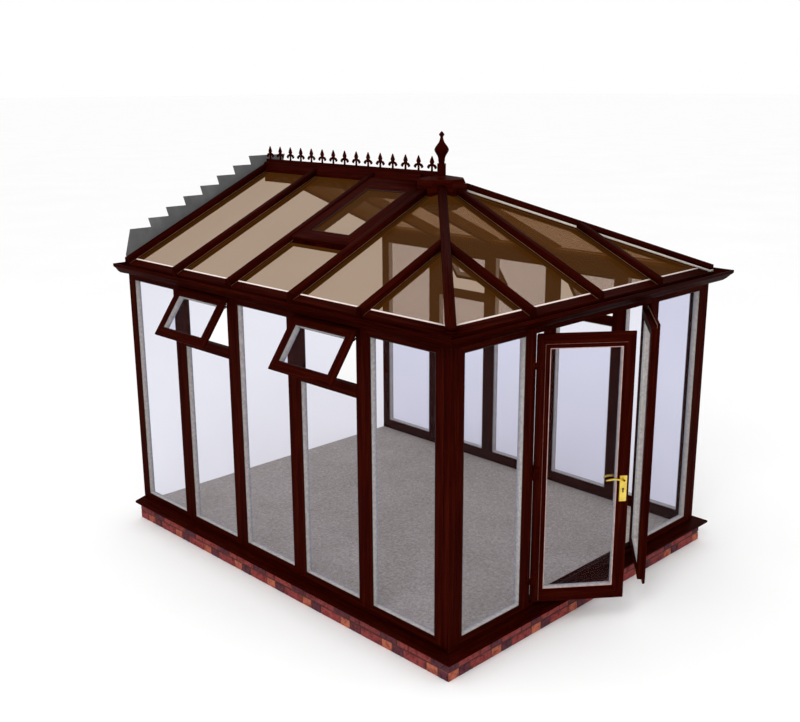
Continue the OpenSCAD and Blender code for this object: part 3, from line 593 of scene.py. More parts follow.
fixed = along_wall(ring("fixed_frames", module, window_high, face, depth, rosewood), 0, 3, middle)
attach(fixed, "frame")
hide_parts("fixed_windows")


def transom():
    return length("transom", [
        (0, 0), (0, bar_high), (-depth, bar_high), (-depth, 0),
    ], [(0.003, 1, (0, 1)), (0.008, 3, (2, 3))], (-light_wide / 2, 0, bar_foot - middle),
        (1, 0, 0), (0, 0, 1), light_wide, rosewood)


vent_frames = join("vent_frames", [
    ring("vent_frame", module, window_high, face, depth, rosewood), transom(),
])
along_wall(vent_frames, 1, 2, middle)
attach(vent_frames, "frame")
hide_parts("vent_windows")

door_low, door_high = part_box("door_jambs")
panel_wide = door_low.x + half_width - depth
side_panels = ring("side_panel_frames", panel_wide, window_high, face, depth, rosewood)
shift(side_panels, -half_width + depth + panel_wide / 2, front, middle)
work(side_panels, "MIRROR")
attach(side_panels, "frame")
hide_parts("side_panels")


# ---- Sealed units ----
# Double glazing with a faint lavender cast. Each unit has a pale metal spacer round its edge,
# which shows as a light strip inside the frame, and is held in rubber gaskets.

glass_set, glass_thick = 0.004, 0.024


def pane_finish(name, tint, deeper, gloss, edge_shine=0.08, painted_glow=None):
    """Clear glass: what passes takes the tint, and a little of the room shows in it.

    painted_glow is the colour of an emission mixed into a tinted plastic sheet: a painted glow that
    stands in for light scattered by its dye.
    """
    material, tree, place = new_finish(name)
    flow, smear = noise(tree, place, 1.7, 2)["Fac"], noise(tree, place, 26, 5)["Fac"]
    shade = ramp(tree, flow, [(0.3, deeper), (0.7, tint)])
    dull = add(tree, "MapRange", {"Value": smear, "To Min": 0.01, "To Max": 0.07})
    wave = add(tree, "Bump", {"Strength": 0.05, "Distance": 0.002, "Height": flow})
    ray = add(tree, "LightPath").outputs["Is Diffuse Ray"]
    passed = mixed(tree, ray, shade, [0.97, 0.97, 0.97, 1], "MIX")
    clear = add(tree, "BsdfTransparent", {"Color": passed}).outputs["BSDF"]
    # A faint emission is mixed in here: a painted glow, not light from any lamp.
    if painted_glow:
        glow_emission = add(tree, "Emission", {"Color": painted_glow}).outputs["Emission"]
        clear = add(tree, "MixShader", {0: 0.045, 1: clear, 2: glow_emission}).outputs["Shader"]
    shine = add(tree, "BsdfGlossy", {
        "Color": gloss, "Roughness": dull.outputs["Result"], "Normal": wave.outputs["Normal"],
    })
    glance = add(tree, "LayerWeight", {"Blend": 0.5, "Normal": wave.outputs["Normal"]})
    edge = ramp(tree, glance.outputs["Facing"], [
        (at, [share] * 3 + [1]) for at, share in ((0.0, 0.004), (0.75, 0.008), (1.0, edge_shine))
    ])
    pane = add(tree, "MixShader", {0: edge, 1: clear, 2: shine.outputs["BSDF"]})
    add(tree, "OutputMaterial", {"Surface": pane.outputs["Shader"]})
    return material


window_glass = pane_finish("window_glass", [0.897, 0.897, 0.942, 1], [0.888, 0.888, 0.936, 1],
                           [0.8, 0.8, 0.85, 1])
dress(window_glass, "wall_glass", "side_panel_glass", "vent_glass", "door_glass_left",
      "door_glass_right")


def metal_finish(name, dark, light, roughness):
    """Brushed or polished metal with faint streaks and handling marks."""
    material, tree, place = new_finish(name)
    streak, mark = noise(tree, place, 60, 5)["Fac"], noise(tree, place, 14, 3)["Fac"]
    return skin(material, ramp(tree, mark, [(0.35, dark), (0.65, light)]),
                (streak, roughness * 0.75, roughness * 1.3), (0.12, 0.0003, streak), metallic=1)


def rubber_finish(name, dark, light, roughness=0.6):
    """Extruded rubber or unfoiled plastic, a little uneven in shade."""
    material, tree, place = new_finish(name)
    dust = noise(tree, place, 45, 5)["Fac"]
    return skin(material, ramp(tree, dust, [(0.35, dark), (0.7, light)]),
                (dust, roughness, roughness + 0.2), (0.2, 0.0003, dust), 0.25)


spacer_metal = rubber_finish("spacer_metal", (166, 160, 154), (196, 190, 184))
gasket_rubber = rubber_finish("gasket_rubber", (14, 10, 10), (34, 26, 24))
gasket_grey = rubber_finish("gasket_grey", (142, 144, 150), (166, 168, 172), 0.7)


def unit_rings(name, wide, high, outside=0.0, front_gasket=gasket_rubber):
    """A spacer and two gaskets for a pane of this size, centred at the origin."""
    clear, soft = 2 * hair, 0.001
    glass_front = outside + glass_set
    rims = []
    for part, member, deep, rubber, front_soft, at in (
        ("spacer", 0.004, glass_thick + 0.012, spacer_metal, 0, glass_front + 0.0015),
        ("gasket", 0.005, 0.0022, front_gasket, soft, glass_front - 0.0020),
        ("gasket", 0.005, 0.0130, gasket_grey, soft, glass_front + glass_thick + 0.0130),
    ):
        rim = ring(part, wide - clear, high - clear, member, deep, rubber,
                   (0, front_soft, 0, soft))
        rims.append(shift(rim, y=at))
    return join(name, rims)


side_units = along_wall(unit_rings("fixed_unit_rims", light_wide, light_top - light_foot),
                        0, 3, (light_foot + light_top) / 2)
low_units = along_wall(unit_rings("low_unit_rims", light_wide, bar_foot - light_foot),
                       1, 2, (light_foot + bar_foot) / 2)
panel_units = unit_rings("panel_unit_rims", panel_wide - 2 * face, light_top - light_foot)
shift(panel_units, -half_width + depth + panel_wide / 2, front, (light_foot + light_top) / 2)
work(panel_units, "MIRROR")
unit_rims = join("unit_rims", [side_units, low_units, panel_units])
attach(unit_rims, "frame")


# ---- Opening vents ----
# Four top-hung sashes with a wide outer lip that closes over the frame and a body that fits
# inside it. Each stands open on a pair of two-part steel friction stays and has a gilt
# handle in the middle of its bottom rail, inside.

vent_angle = math.radians(35)
side_lap, end_lap, lip = 0.038, 0.031, 0.020
vent_wide, vent_high = light_wide + 2 * side_lap, vent_clear + 2 * end_lap
hinge_level = light_top + end_lap
vent_face, body_gap, body_deep = 0.075, 0.005, 0.038
body_wide, body_high = light_wide - 2 * body_gap, vent_clear - 2 * body_gap
body_stile, body_rail = vent_face - side_lap - body_gap, vent_face - end_lap - body_gap


def swing_out(name, piece):
    """Drops a vent piece below the hinge line, opens it outwards and hangs it on both walls."""
    shift(piece, z=-vent_high / 2)
    return join(name, [along_wall(shift(piece, tilt=-vent_angle), 1, 2, hinge_level)])


outer = ring("vent_lip", vent_wide, vent_high, vent_face, lip, rosewood,
             (0.006, 0.004, 0.0015, 0.001))
shift(outer, y=-lip)
inner = ring("vent_body", body_wide, body_high, body_stile, body_deep + 0.0005, rosewood,
             (0.0005, 0.0005, 0.003, 0.009), rail=body_rail)
shift(inner, y=-0.0005)
sashes = swing_out("vent_sashes_made", join("sash", [outer, inner]))
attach(sashes, "frame")
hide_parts("vent_sashes")

vent_rims = swing_out("vent_unit_rims", unit_rings(
    "rims", vent_wide - 2 * vent_face, vent_high - 2 * vent_face, -lip))
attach(vent_rims, "frame")

seal_tan = rubber_finish("tan_seal", (120, 84, 62), (158, 118, 92))
vent_seal = swing_out("vent_seals", ring(
    "seal", body_wide + 0.020, body_high + 0.020, 0.006, 0.003, seal_tan, (0, 0, 0.001, 0.001)))
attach(vent_seal, "frame")

stay_steel = metal_finish("stay_steel", [0.42, 0.42, 0.43, 1], [0.62, 0.62, 0.63, 1], 0.35)


def disc(name, radius, thick, finish, sides=16, soft=0.0):
    """A round, its axis along Y, standing out to -Y from the origin."""
    start(bpy.ops.mesh.primitive_cylinder_add, vertices=sides, radius=radius, depth=thick,
          rotation=(math.pi / 2, 0, 0), location=(0, -thick / 2, 0))
    if soft:
        choose("FACE", lambda f: f.normal.z > 0.9)
        bpy.ops.mesh.bevel(offset=soft, segments=2)
    return close(name, finish)


def make_stays():
    """Two arms in line, riveted where they overlap, to a track on the frame and to the sash."""
    frame_spot, down_sash, into_sash = Vector((0, 0.030, -0.056)), 0.098, 0.020
    sash_spot = Vector((
        0, -math.sin(vent_angle) * down_sash + into_sash * math.cos(vent_angle),
        -math.cos(vent_angle) * down_sash - into_sash * math.sin(vent_angle)))
    out = sash_spot - frame_spot
    way = out.normalized()
    wide, thick, elbow = 0.014, 0.0022, 0.56
    x = light_wide / 2 - body_gap / 2
    arm_end = out.length + 0.008
    arms = []
    for near, far, level in ((-0.008, arm_end * 0.62, 0.0012), (arm_end * 0.50, arm_end, -0.0012)):
        arms.append(length("arm", [
            (-thick / 2 + level, -wide / 2), (thick / 2 + level, -wide / 2),
            (thick / 2 + level, wide / 2), (-thick / 2 + level, wide / 2),
        ], [(0.0006, 2, (0, 1, 2, 3))], (x, *(frame_spot + way * near).yz),
            (0, *way.yz), (0, -out.z, out.y), far - near, stay_steel))
    for spot in (frame_spot, frame_spot + out * elbow, sash_spot):
        rivet = disc("rivet", 0.0042, 0.0046, stay_steel, 12, 0.001)
        arms.append(shift(rivet, x - 0.0023, spot.y, spot.z, math.pi / 2))
    arms.append(length("track", [
        (0, -0.008), (0.002, -0.008), (0.002, 0.008), (0, 0.008),
    ], [(0.0005, 1, (1, 2))], (x + 0.0005, 0.012, frame_spot.z), (0, 1, 0), (0, 0, 1), 0.040,
        stay_steel))
    return work(join("stay", arms), "MIRROR")


stays = join("friction_stays", [along_wall(make_stays(), 1, 2, hinge_level)])
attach(stays, "frame")
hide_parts("vent_stays")

gilt = metal_finish("gilt_brass", [0.62, 0.42, 0.06, 1], [0.80, 0.60, 0.12, 1], 0.22)


def block(name, x, y, z, wide, deep, high, finish, soft, segments=2):
    """A cast or moulded block centred at a place, its edges rounded."""
    start(bpy.ops.mesh.primitive_cube_add, size=1, location=(x, y, z))
    bpy.ops.transform.resize(value=(wide, deep, high), center_override=(x, y, z))
    bpy.ops.mesh.bevel(offset=soft, segments=segments)
    return close(name, finish)


def make_vent_handle():
    level = -vent_high / 2 + end_lap + body_gap + body_rail / 2
    y = body_deep
    base = block("base", 0, y + 0.0045, level, 0.028, 0.009, 0.024, gilt, 0.003)
    neck = disc("neck", 0.008, 0.008, gilt, 20)
    shift(neck, 0, y + 0.0165, level)
    start(bpy.ops.mesh.primitive_cube_add, size=1, location=(-0.018, y + 0.014, level))
    bpy.ops.transform.resize(value=(0.072, 0.010, 0.014),
                             center_override=(-0.018, y + 0.014, level))
    choose("FACE", lambda f: f.normal.x < -0.9)
    bpy.ops.transform.resize(value=(1, 0.8, 0.75))
    pull(-0.001, 0.0, 0)
    choose("FACE", lambda f: f.normal.x > 0.9)
    pull(0.037, 0, 0)
    bpy.ops.transform.resize(value=(1, 0.7, 0.7))
    choose_all()
    bpy.ops.mesh.bevel(offset=0.0025, segments=3)
    grip = close("grip", gilt)
    return join("vent_handle", [base, neck, grip])


vent_handles = swing_out("vent_handles_made", make_vent_handle())
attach(vent_handles, "frame")
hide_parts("vent_handles")


# ---- Door frame ----
# The frame of the double doors: two jambs, a head and a threshold, each rebated so that the
# doors close against a step. A black rubber seal runs round the step.

door_half = door_high.x
reveal, step = 0.040, lip + 0.005
head_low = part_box("door_head")[0].z
sill_step_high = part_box("door_threshold")[1].z


def make_jamb():
    plan = [(0, 0), (reveal, 0), (reveal, -step), (face, -step), (face, -depth), (0, -depth)]
    return length("jamb", plan, [(0.0015, 1, (0, 4, 5)), (0.002, 2, (1, 3))],
                  (-door_half, front, frame_foot), (0, 0, 1), (0, -1, 0), window_high, rosewood)


jambs = join("door_frame_jambs", [work(make_jamb(), "MIRROR")])
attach(jambs, "frame")
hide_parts("door_jambs")


def carve(piece, tool):
    """Cuts a shape out of a piece and throws the shape away."""
    work(piece, "BOOLEAN", object=tool, operation="DIFFERENCE", solver="EXACT")
    bpy.data.objects.remove(tool)
    return piece


def across_doors(name, profile, rounds):
    """A bar between the jambs, its outline in distance out and height."""
    wide = 2 * (door_half - reveal)
    bar = length(name, profile, rounds, (-wide / 2, front, 0), (1, 0, 0), (0, 0, 1), wide,
                 rosewood)
    inner = door_half - face
    start(bpy.ops.mesh.primitive_cube_add, size=1)
    bpy.ops.mesh.delete(type="VERT")
    for side in (-1, 1):
        bpy.ops.mesh.primitive_cube_add(
            size=1, location=(side * (inner + 0.1), front + step + 0.1, 1.2),
            scale=(0.2, 0.2, 3))
    return carve(bar, close("notch", rosewood))


door_head = across_doors("door_frame_head", [
    (0, head_low), (-step, head_low), (-step, light_top), (-depth, light_top), (-depth, top),
    (0, top),
], [(0.002, 2, (0, 2)), (0.0015, 1, (3, 4, 5))])
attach(door_head, "frame")
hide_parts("door_head")

step_low, door_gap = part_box("door_threshold")[0].z, 0.005
step_top = step_low + 0.048
threshold = across_doors("door_frame_threshold", [
    (0, step_low), (0, step_top), (-step, step_top), (-step, sill_step_high),
    (-depth, sill_step_high), (-depth, step_low),
], [(0.003, 3, (1,)), (0.002, 2, (3, 4)), (0.0015, 1, (0, 5))])
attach(threshold, "frame")
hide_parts("door_threshold")

seal_in = ring("door_frame_seal", 2 * (door_half - face) + 0.022,
               light_top - sill_step_high + 0.022, 0.007, 0.0020, gasket_rubber,
               (0, 0.0006, 0, 0))
shift(seal_in, 0, front + step - 0.0018, (light_top + sill_step_high) / 2)
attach(seal_in, "frame")


# ---- Doors ----
# A pair of glazed doors, hung to open outwards. Each leaf is a mitred frame with an outer lip
# that laps the door frame and a deeper body behind it. They are made closed and then swung
# open about their hinges, which is how they stand.

joints = {row["name"]: row for row in frame["joints"]}
hinge = Vector(joints["door_left_hinge"]["pos_m"])
door_open = math.radians(-min(joints["door_left_hinge"]["range_deg"]))
stile, rail, body_side = 0.090, 0.105, 0.055
rebate, meet = 0.035, 0.003
leaf_x0 = -door_half + reveal + door_gap
leaf_x1 = -0.005
leaf_z0, leaf_z1 = step_top + door_gap, head_low - door_gap
leaf_wide, leaf_high = leaf_x1 - leaf_x0, leaf_z1 - leaf_z0
leaf_middle, leaf_mid = (leaf_x0 + leaf_x1) / 2, (leaf_z0 + leaf_z1) / 2


def open_leaf(piece):
    """Swings a piece of the left door, made closed, out to where the door stands."""
    pick(piece)
    spot = Matrix.Translation((hinge.x, hinge.y, 0))
    piece.matrix_world = spot @ Matrix.Rotation(-door_open, 4, "Z") @ spot.inverted()
    bpy.ops.object.transform_apply()
    return piece


def flipped(piece, name, axis=0):
    """A copy of a piece, flipped over the origin, with its faces still outwards."""
    pick(piece)
    bpy.ops.object.duplicate()
    copy = bpy.context.object
    copy.scale[axis] = -1
    bpy.ops.object.transform_apply()
    bpy.ops.object.mode_set(mode="EDIT")
    choose_all()
    bpy.ops.mesh.normals_make_consistent()
    bpy.ops.object.mode_set(mode="OBJECT")
    return join(name, [copy])


def pair(piece, name, slot, *nodes):
    """Fixes a piece to the left door and its like to the right one; {} stands for the side."""
    right = flipped(piece, name.format("right"))
    for side, part in (("left", join(name.format("left"), [piece])), ("right", right)):
        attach(part, f"door_{side}")
        if nodes:
            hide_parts(*(node.format(side) for node in nodes))


def make_leaf():
    """The lip and the body of a leaf; the body's free side gets the lip's inner edge."""
    outer = ring("leaf_lip", leaf_wide, leaf_high, stile, lip, rosewood,
                 (0.005, 0.004, 0.0015, 0.0005), rail=rail)
    shift(outer, leaf_middle, front, leaf_mid)
    body_x0, body_x1 = leaf_x0 + rebate, leaf_x1 - meet
    wide, high = body_x1 - body_x0, leaf_high - 2 * rebate
    body = ring("leaf_body", wide, high, body_side, depth - lip + 0.0005, rosewood,
                (0.0005, 0.0005, 0.003, 0.009), rail=rail - rebate)
    shift(body, (body_x0 + body_x1) / 2, front + lip - 0.0005, leaf_mid)
    bpy.ops.object.mode_set(mode="EDIT")
    inside = body_x1 - body_side
    choose("VERT", lambda v: abs(v.co.x - inside) < 0.012
           and abs(v.co.z - leaf_mid) < leaf_high / 2 - rail + 0.012)
    bpy.ops.transform.translate(value=(leaf_x1 - stile - inside, 0, 0))
    bpy.ops.object.mode_set(mode="OBJECT")
    return join("leaf_made", [outer, body])


pair(open_leaf(make_leaf()), "door_leaf_{}_made", "wood", "door_leaf_{}")

seal_pink = rubber_finish("pink_seal", (168, 132, 126), (204, 170, 162))
# Pale brown strips laid by each leaf's glass on the hinge side and the top only: painted highlights
# that stand in for the lit faces of a moulding step.
highlight_line_finish = rubber_finish("painted_highlight_line", (86, 48, 42), (116, 74, 64))


def make_leaf_rims():
    """The spacer and seals of a leaf, the flap on its hinge side, and two thin pale strips by its
    glass, on the hinge side and the top only: painted highlights where a moulding step would catch
    the light.
    """
    rims = unit_rings("leaf_rims", leaf_wide - 2 * stile, leaf_high - 2 * rail,
                      front_gasket=seal_pink)
    shift(rims, leaf_middle, front, leaf_mid)
    highlight_x, highlight_z = leaf_x0 + stile - 0.034, leaf_z1 - rail + 0.030
    # Painted highlights: pale lines on the hinge side and the top only, where a step's face would
    # catch the light.
    highlight_lines = [
        block("bead", highlight_x, front - hair, leaf_mid - 0.03, 0.0032, 0.0016,
              leaf_high - 2 * rail + 0.12, highlight_line_finish, 0.0004),
        block("bead", leaf_middle, front - hair, highlight_z, leaf_wide - 2 * stile + 0.06,
              0.0016, 0.0032, highlight_line_finish, 0.0004),
    ]
    flap = block("flap", leaf_x0 - 0.0018, front + 0.0152, leaf_mid, 0.0048, 0.0064,
                 leaf_high - 0.02, gasket_rubber, 0.0008)
    seal = ring("leaf_seal", leaf_wide - 0.014, leaf_high - 0.014, 0.007, 0.0035, seal_tan,
                (0, 0, 0, 0.001))
    shift(seal, leaf_middle, front + lip - 0.0006, leaf_mid)
    return open_leaf(join("leaf_rims_made", [rims, flap, *highlight_lines, seal]))


pair(make_leaf_rims(), "door_{}_rims", "steel")


def make_lock():
    """The steel faceplate of the lock, let into the free edge, with its latch and bolts."""
    x, z0, z1 = leaf_x1 - meet, leaf_z0 + 0.10, leaf_z1 - 0.10
    y = front + lip + 0.020
    bits = [block("plate", x, y, (z0 + z1) / 2, 0.0024, 0.016, z1 - z0, stay_steel, 0.0008)]
    for z, high in ((1.17, 0.022), (1.08, 0.034), (0.55, 0.024), (1.95, 0.024)):
        bits.append(block("bolt", x + 0.0004, y, z, 0.003, 0.010, high, stay_steel, 0.0006))
    return open_leaf(join("door_lock_plate", bits))


lock = make_lock()
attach(lock, "door_left")


# ---- Hinges ----
# Three flag hinges a side, painted brown. The lower knuckle and its pin are fixed to the
# jamb, and the upper one drops over the pin and swings with the door.

pin_radius, knuckle_radius, hinge_high = 0.004, 0.008, 0.100
knuckle_high = hinge_high / 2 - 0.001
plate_gap, plate_wide, plate_thick = 0.009, 0.030, 0.003
standoff, screw_places = 0.010, (0.014, 0.050, 0.086)
hinge_feet = (leaf_z0 + 0.150, leaf_mid - hinge_high / 2, leaf_z1 - 0.150 - hinge_high)
hinge_paint = foil_finish("hinge_paint", grainy=False)


def knuckle(z, height, radius, soft=0.0008):
    start(bpy.ops.mesh.primitive_cylinder_add, vertices=24, radius=radius, depth=height,
          location=(hinge.x, hinge.y, z + height / 2))
    choose("EDGE", lambda e: abs((e.verts[0].co - e.verts[1].co).z) < 1e-6)
    bpy.ops.mesh.bevel(offset=soft, segments=2)
    return close("knuckle", hinge_paint)


def make_hinges(moving):
    """The flags, knuckles and domed screws of three hinges, for the leaf or for the jamb."""
    side = 1 if moving else -1
    x, y = hinge.x + side * (plate_gap + plate_wide / 2), hinge.y + standoff - plate_thick / 2
    near, far = door_gap / 2, plate_gap + 0.004
    pieces = []
    for z in hinge_feet:
        pieces.append(block("flag", x, y, z + hinge_high / 2, plate_wide, plate_thick,
                            hinge_high, hinge_paint, 0.001))
        foot = z + hinge_high - knuckle_high if moving else z
        pieces.append(block("web", hinge.x + side * (near + far) / 2,
                            hinge.y + standoff / 2 - hair,
                            foot + knuckle_high / 2, far - near, standoff - 0.0005,
                            knuckle_high, hinge_paint, 0.0012))
        pieces.append(knuckle(foot, knuckle_high, knuckle_radius))
        if not moving:
            pieces.append(knuckle(z, hinge_high - 0.0015, pin_radius, 0.0006))
        for up in screw_places:
            screw = disc("screw", 0.0032, 0.0016, hinge_paint, 12, 0.0009)
            pieces.append(shift(screw, x + side * 0.003, y - plate_thick / 2 + hair, z + up))
    return join("hinges_made", pieces)


fixed_hinges = join("jamb_hinges", [work(make_hinges(False), "MIRROR")])
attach(fixed_hinges, "frame")
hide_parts("hinge_pins")

pair(open_leaf(make_hinges(True)), "door_hinges_{}", "hinge", "hinge_flags_{}")


# ---- Door handles ----
# Gilt levers on long backplates, one outside and one inside the left door, on one spindle.
# Each plate has two screws and a cylinder lock under the lever.

lever_z = joints["door_lever_turn"]["pos_m"][2]
lever_x = leaf_x1 - stile / 2
plate_wide_gilt, plate_high, plate_deep = 0.056, 0.200, 0.009
plate_foot = lever_z - plate_high + 0.030


def make_backplate():
    """The bevelled plate behind a lever, with what is fixed to it."""
    middle_z, lock_z = plate_foot + plate_high / 2, lever_z - 0.072
    start(bpy.ops.mesh.primitive_plane_add, size=1, rotation=(math.pi / 2, 0, 0),
          location=(lever_x, 0, middle_z))
    bpy.ops.transform.resize(value=(plate_wide_gilt, 1, plate_high),
                             center_override=(lever_x, 0, middle_z))
    bpy.ops.mesh.bevel(offset=0.005, segments=4, affect="VERTICES")
    choose_all()
    pull(0, -plate_deep * 0.55, 0)
    bpy.ops.mesh.inset(thickness=0.004)
    bpy.ops.transform.translate(value=(0, -plate_deep * 0.45, 0))
    plate = close("plate", gilt, 25)
    rose = disc("rose", 0.0125, 0.003, gilt, 28, 0.001)
    shift(rose, lever_x, -plate_deep + 0.0004, lever_z)
    bits = [plate, rose]
    for z in (plate_foot + 0.014, plate_foot + plate_high - 0.012):
        screw = disc("screw", 0.0036, 0.0015, gilt, 14, 0.0006)
        bits.append(shift(screw, lever_x, -plate_deep + 0.0003, z))
    barrel = disc("barrel", 0.0085, 0.0026, gasket_rubber, 24, 0.0008)
    shift(barrel, lever_x, -plate_deep + 0.0004, lock_z)
    tail = block("tail", lever_x, -plate_deep - 0.0008, lock_z - 0.014, 0.0095, 0.0034, 0.024,
                 gasket_rubber, 0.0012)
    slot = block("slot", lever_x, -plate_deep - 0.0024, lock_z, 0.0014, 0.0016, 0.009,
                 stay_steel, 0.0003)
    return join("backplate", bits + [barrel, tail, slot])


def facing_in(piece, name):
    """A copy of an outside fitting for the inside of the door, turned to face the room."""
    return shift(flipped(piece, name, 1), y=front + depth)


outside_plate = make_backplate()
inside_plate = facing_in(outside_plate, "inside_plate")
shift(outside_plate, y=front)
backplates = open_leaf(join("handle_backplates", [outside_plate, inside_plate]))
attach(backplates, "door_left")
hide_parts("door_backplates")


def make_lever():
    """A round bar drawn out from the plate, bent along the door and swept down to its end."""
    start(bpy.ops.mesh.primitive_circle_add, vertices=18, radius=0.0065, fill_type="NGON",
          rotation=(math.pi / 2, 0, 0), location=(lever_x, -plate_deep + 0.002, lever_z))
    pull(0, -0.024, 0)
    bpy.ops.transform.resize(value=(1.1, 1, 1.1))
    settle()
    end_y = -plate_deep - 0.022
    choose("FACE", lambda f: f.calc_center_median().y < end_y + 1e-4 and abs(f.normal.y) > 0.9)
    bend = 0.020
    bpy.ops.mesh.spin(steps=7, angle=math.pi / 2, center=(lever_x - bend, end_y, lever_z),
                      axis=(0, 0, -1))
    for along, up, out, scale in ((0.016, 0.002, 0, 1.05), (0.018, 0.003, 0, 1.06),
                                  (0.020, 0.001, 0, 1.0), (0.020, -0.002, 0.001, 0.98),
                                  (0.018, -0.004, 0.003, 0.94), (0.010, -0.003, 0.003, 0.9),
                                  (0.005, -0.002, 0.002, 0.7)):
        pull(-along, out, up)
        bpy.ops.transform.resize(value=(1, scale, scale))
    return close("lever", gilt, 60)


outside_lever = make_lever()
inside_lever = facing_in(outside_lever, "inside_lever")
shift(outside_lever, y=front)
start(bpy.ops.mesh.primitive_cylinder_add, vertices=16, radius=0.0046, depth=depth + 0.02,
      rotation=(math.pi / 2, 0, 0), location=(lever_x, front + depth / 2, lever_z))
bpy.ops.mesh.bevel(offset=0.0004, segments=1)
spindle = close("spindle", stay_steel)
levers = open_leaf(join("door_levers", [outside_lever, inside_lever, spindle]))
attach(levers, "door_lever")
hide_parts("door_lever")


# ---- Eaves and gutter ----
# A foil-wrapped eaves beam lies on the frames with its top cut to the slope. The gutter is a
# plastic ogee run clipped to it, mitred at the corners and closed by a moulded stop end beside
# the house.

slope = math.radians(25)
tan_p, cos_p, sin_p = math.tan(slope), math.cos(slope), math.sin(slope)
ridge_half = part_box("ridge_cap")[1].x
cap_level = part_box("rafters")[1].z - (half_width - ridge_half) * tan_p
cap_thick, sheet_thick = 0.020, 0.025
sheet_top = cap_level - cap_thick / cos_p
sheet_foot = sheet_top - sheet_thick / cos_p
overhang = 0.020

eaves = run("eaves_beams", [
    (0, top), (0, sheet_foot - hair), (-depth, sheet_foot + depth * tan_p - hair),
    (-depth, top),
], [(0.003, 2, (0, 3)), (0.001, 1, (1, 2))], around, rosewood)
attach(eaves, "frame")
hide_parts("side_eaves", "front_eaves")

gutter_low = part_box("side_gutters")[0]
gutter_out = -half_width - gutter_low.x
gutter_foot = gutter_low.z
gutter_lip = gutter_foot + 0.104
gutter_back = sheet_foot - overhang * tan_p - 0.001
gutter_foil = foil_finish("gutter_plastic", 0.9)


def gutter_line(grow=0.0):
    """The outer line of the gutter, from its back foot to its front lip."""
    out, foot = gutter_out + grow, gutter_foot - grow
    return [
        (0, foot), (0.040, foot + 0.006), (0.082, foot + 0.020), (0.104, foot + 0.040),
        (0.122, gutter_foot + 0.062), (out - 0.002, gutter_foot + 0.078),
        (out, gutter_foot + 0.084), (out, gutter_lip),
    ]


def make_gutter():
    foot, wall, bead, inside = gutter_foot, 0.004, gutter_out - 0.010, gutter_out - 0.004
    return run("gutter_run", gutter_line() + [
        (bead, gutter_lip), (bead, gutter_lip - wall), (inside, gutter_lip - wall),
        (inside, foot + 0.086), (0.119, foot + 0.066), (0.080, foot + 0.024),
        (wall, foot + wall), (wall, gutter_back), (0, gutter_back),
    ], [
        (0.008, 3, (2, 5)), (0.0015, 2, (7, 8)), (0.006, 3, (13,)), (0.001, 1, (9, 15, 16)),
    ], around, gutter_foil)


def stop_end():
    outline = gutter_line(0.0022) + [(0, gutter_lip)]
    return length("stop_end", outline, [(0.003, 2, (7,))], (-half_width, back, 0), (0, -1, 0),
                  (0, 0, 1), 0.004, gutter_foil)


gutters = join("gutters", [make_gutter(), work(stop_end(), "MIRROR")])
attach(gutters, "frame")
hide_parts("side_gutters", "front_gutter")


# ---- Roof bars ----
# Each bar has a body of foil-wrapped plastic under the roof sheets, a thin web between them
# and a snap-on cap with splayed shoulders over them. A thin tan gasket shows along both edges
# of the cap, and a moulded end cover closes the cap at the eaves. The hips are the same, bent,
# and the right hip shows a wider strip of unfoiled grey plastic.

corner = Vector((-half_width, front, cap_level))
hub = Vector((0, front + half_width, 0))
cap_half, web_half, body_half = 0.032, 0.008, 0.030
web_top, body_top = cap_thick, cap_thick + sheet_thick
hub_out, cap_out = 0.150, 0.203
beam_half = 0.035
up_left, square_left = Vector((cos_p, 0, sin_p)), Vector((-sin_p, 0, cos_p))

cap_high, cap_base, foot_high = 0.038, -0.010, -0.0135
bar_spare, miter_gap = 0.08, 0.030


def even(*left):
    """A section that is the same on both sides, from its left half."""
    return [*left] + [(-x, z) for x, z in reversed(left)]


def oblong(half, low, high):
    """A plain section, from its lower left corner round."""
    return even((-half, low), (-half, high))


cap_line = even((-cap_half, cap_base), (-cap_half, cap_high - 0.010), (-0.024, cap_high - 0.001),
                (-0.010, cap_high))
cap_rounds = [(0.003, 3, (1, 2, 5, 6)), (0.001, 1, (0, 7))]
seat_half = cap_half - 0.001
core_half, core_deep, cover_thick = 0.020, 0.012, 0.005
core_line = even((-core_half, -body_top - core_deep), (-core_half, -body_top),
                 (-web_half, -body_top), (-web_half, -web_top))
cover_foot = -body_top - core_deep - cover_thick
cover_line = oblong(body_half - 0.004, cover_foot, cover_foot + cover_thick)
cover_rounds = [(0.002, 2, (0, 3)), (0.001, 1, (1, 2))]
gasket_tan = rubber_finish("tan_gasket", (104, 76, 54), (136, 106, 80), 0.7)


def bar_layers(name, foot, along, up, cuts):
    """The cap, web, body and gasket of one bar, from beyond the eaves; cuts trims each."""
    foot = foot - Vector(along) * (overhang + bar_spare) / cos_p
    return [
        length(name, line, rounds, foot, along, up, half_width / cos_p + 0.3, finish, cuts[key])
        for line, rounds, key, finish in (
            (cap_line, cap_rounds, "cap", rosewood),
            (oblong(seat_half, foot_high, cap_base), [], "cap", gasket_tan),
            (oblong(seat_half, -cap_thick, foot_high), [], "cap", rosewood),
            (core_line, [], "core", rosewood), (cover_line, cover_rounds, "core", rosewood),
        )
    ]


def hip_cut(way, gap):
    """The plane that keeps a bar this far clear of the left hip."""
    way = Vector(way).normalized()
    return Vector((corner.x, corner.y, 0)) - way * gap, way


def left_bar(y):
    """A bar of the left slope, stopped at the ridge, the hub or the hip."""
    at_hub, at_hip = abs(y - hub.y) < 0.05, y < hub.y - 0.1
    cuts = {}
    for key, outset, stop, gap in (
        ("cap", -overhang, cap_out - 0.012 if at_hub else 0.046, miter_gap),
        ("core", depth, hub_out if at_hub else beam_half, core_half),
    ):
        cuts[key] = [((corner.x + outset, 0, 0), (-1, 0, 0)), ((-stop, 0, 0), (1, 0, 0))]
        if at_hip:
            cuts[key].append(hip_cut((1, -1, 0), gap))
    return bar_layers("left_bar", Vector((corner.x, y, cap_level)), up_left, square_left, cuts)


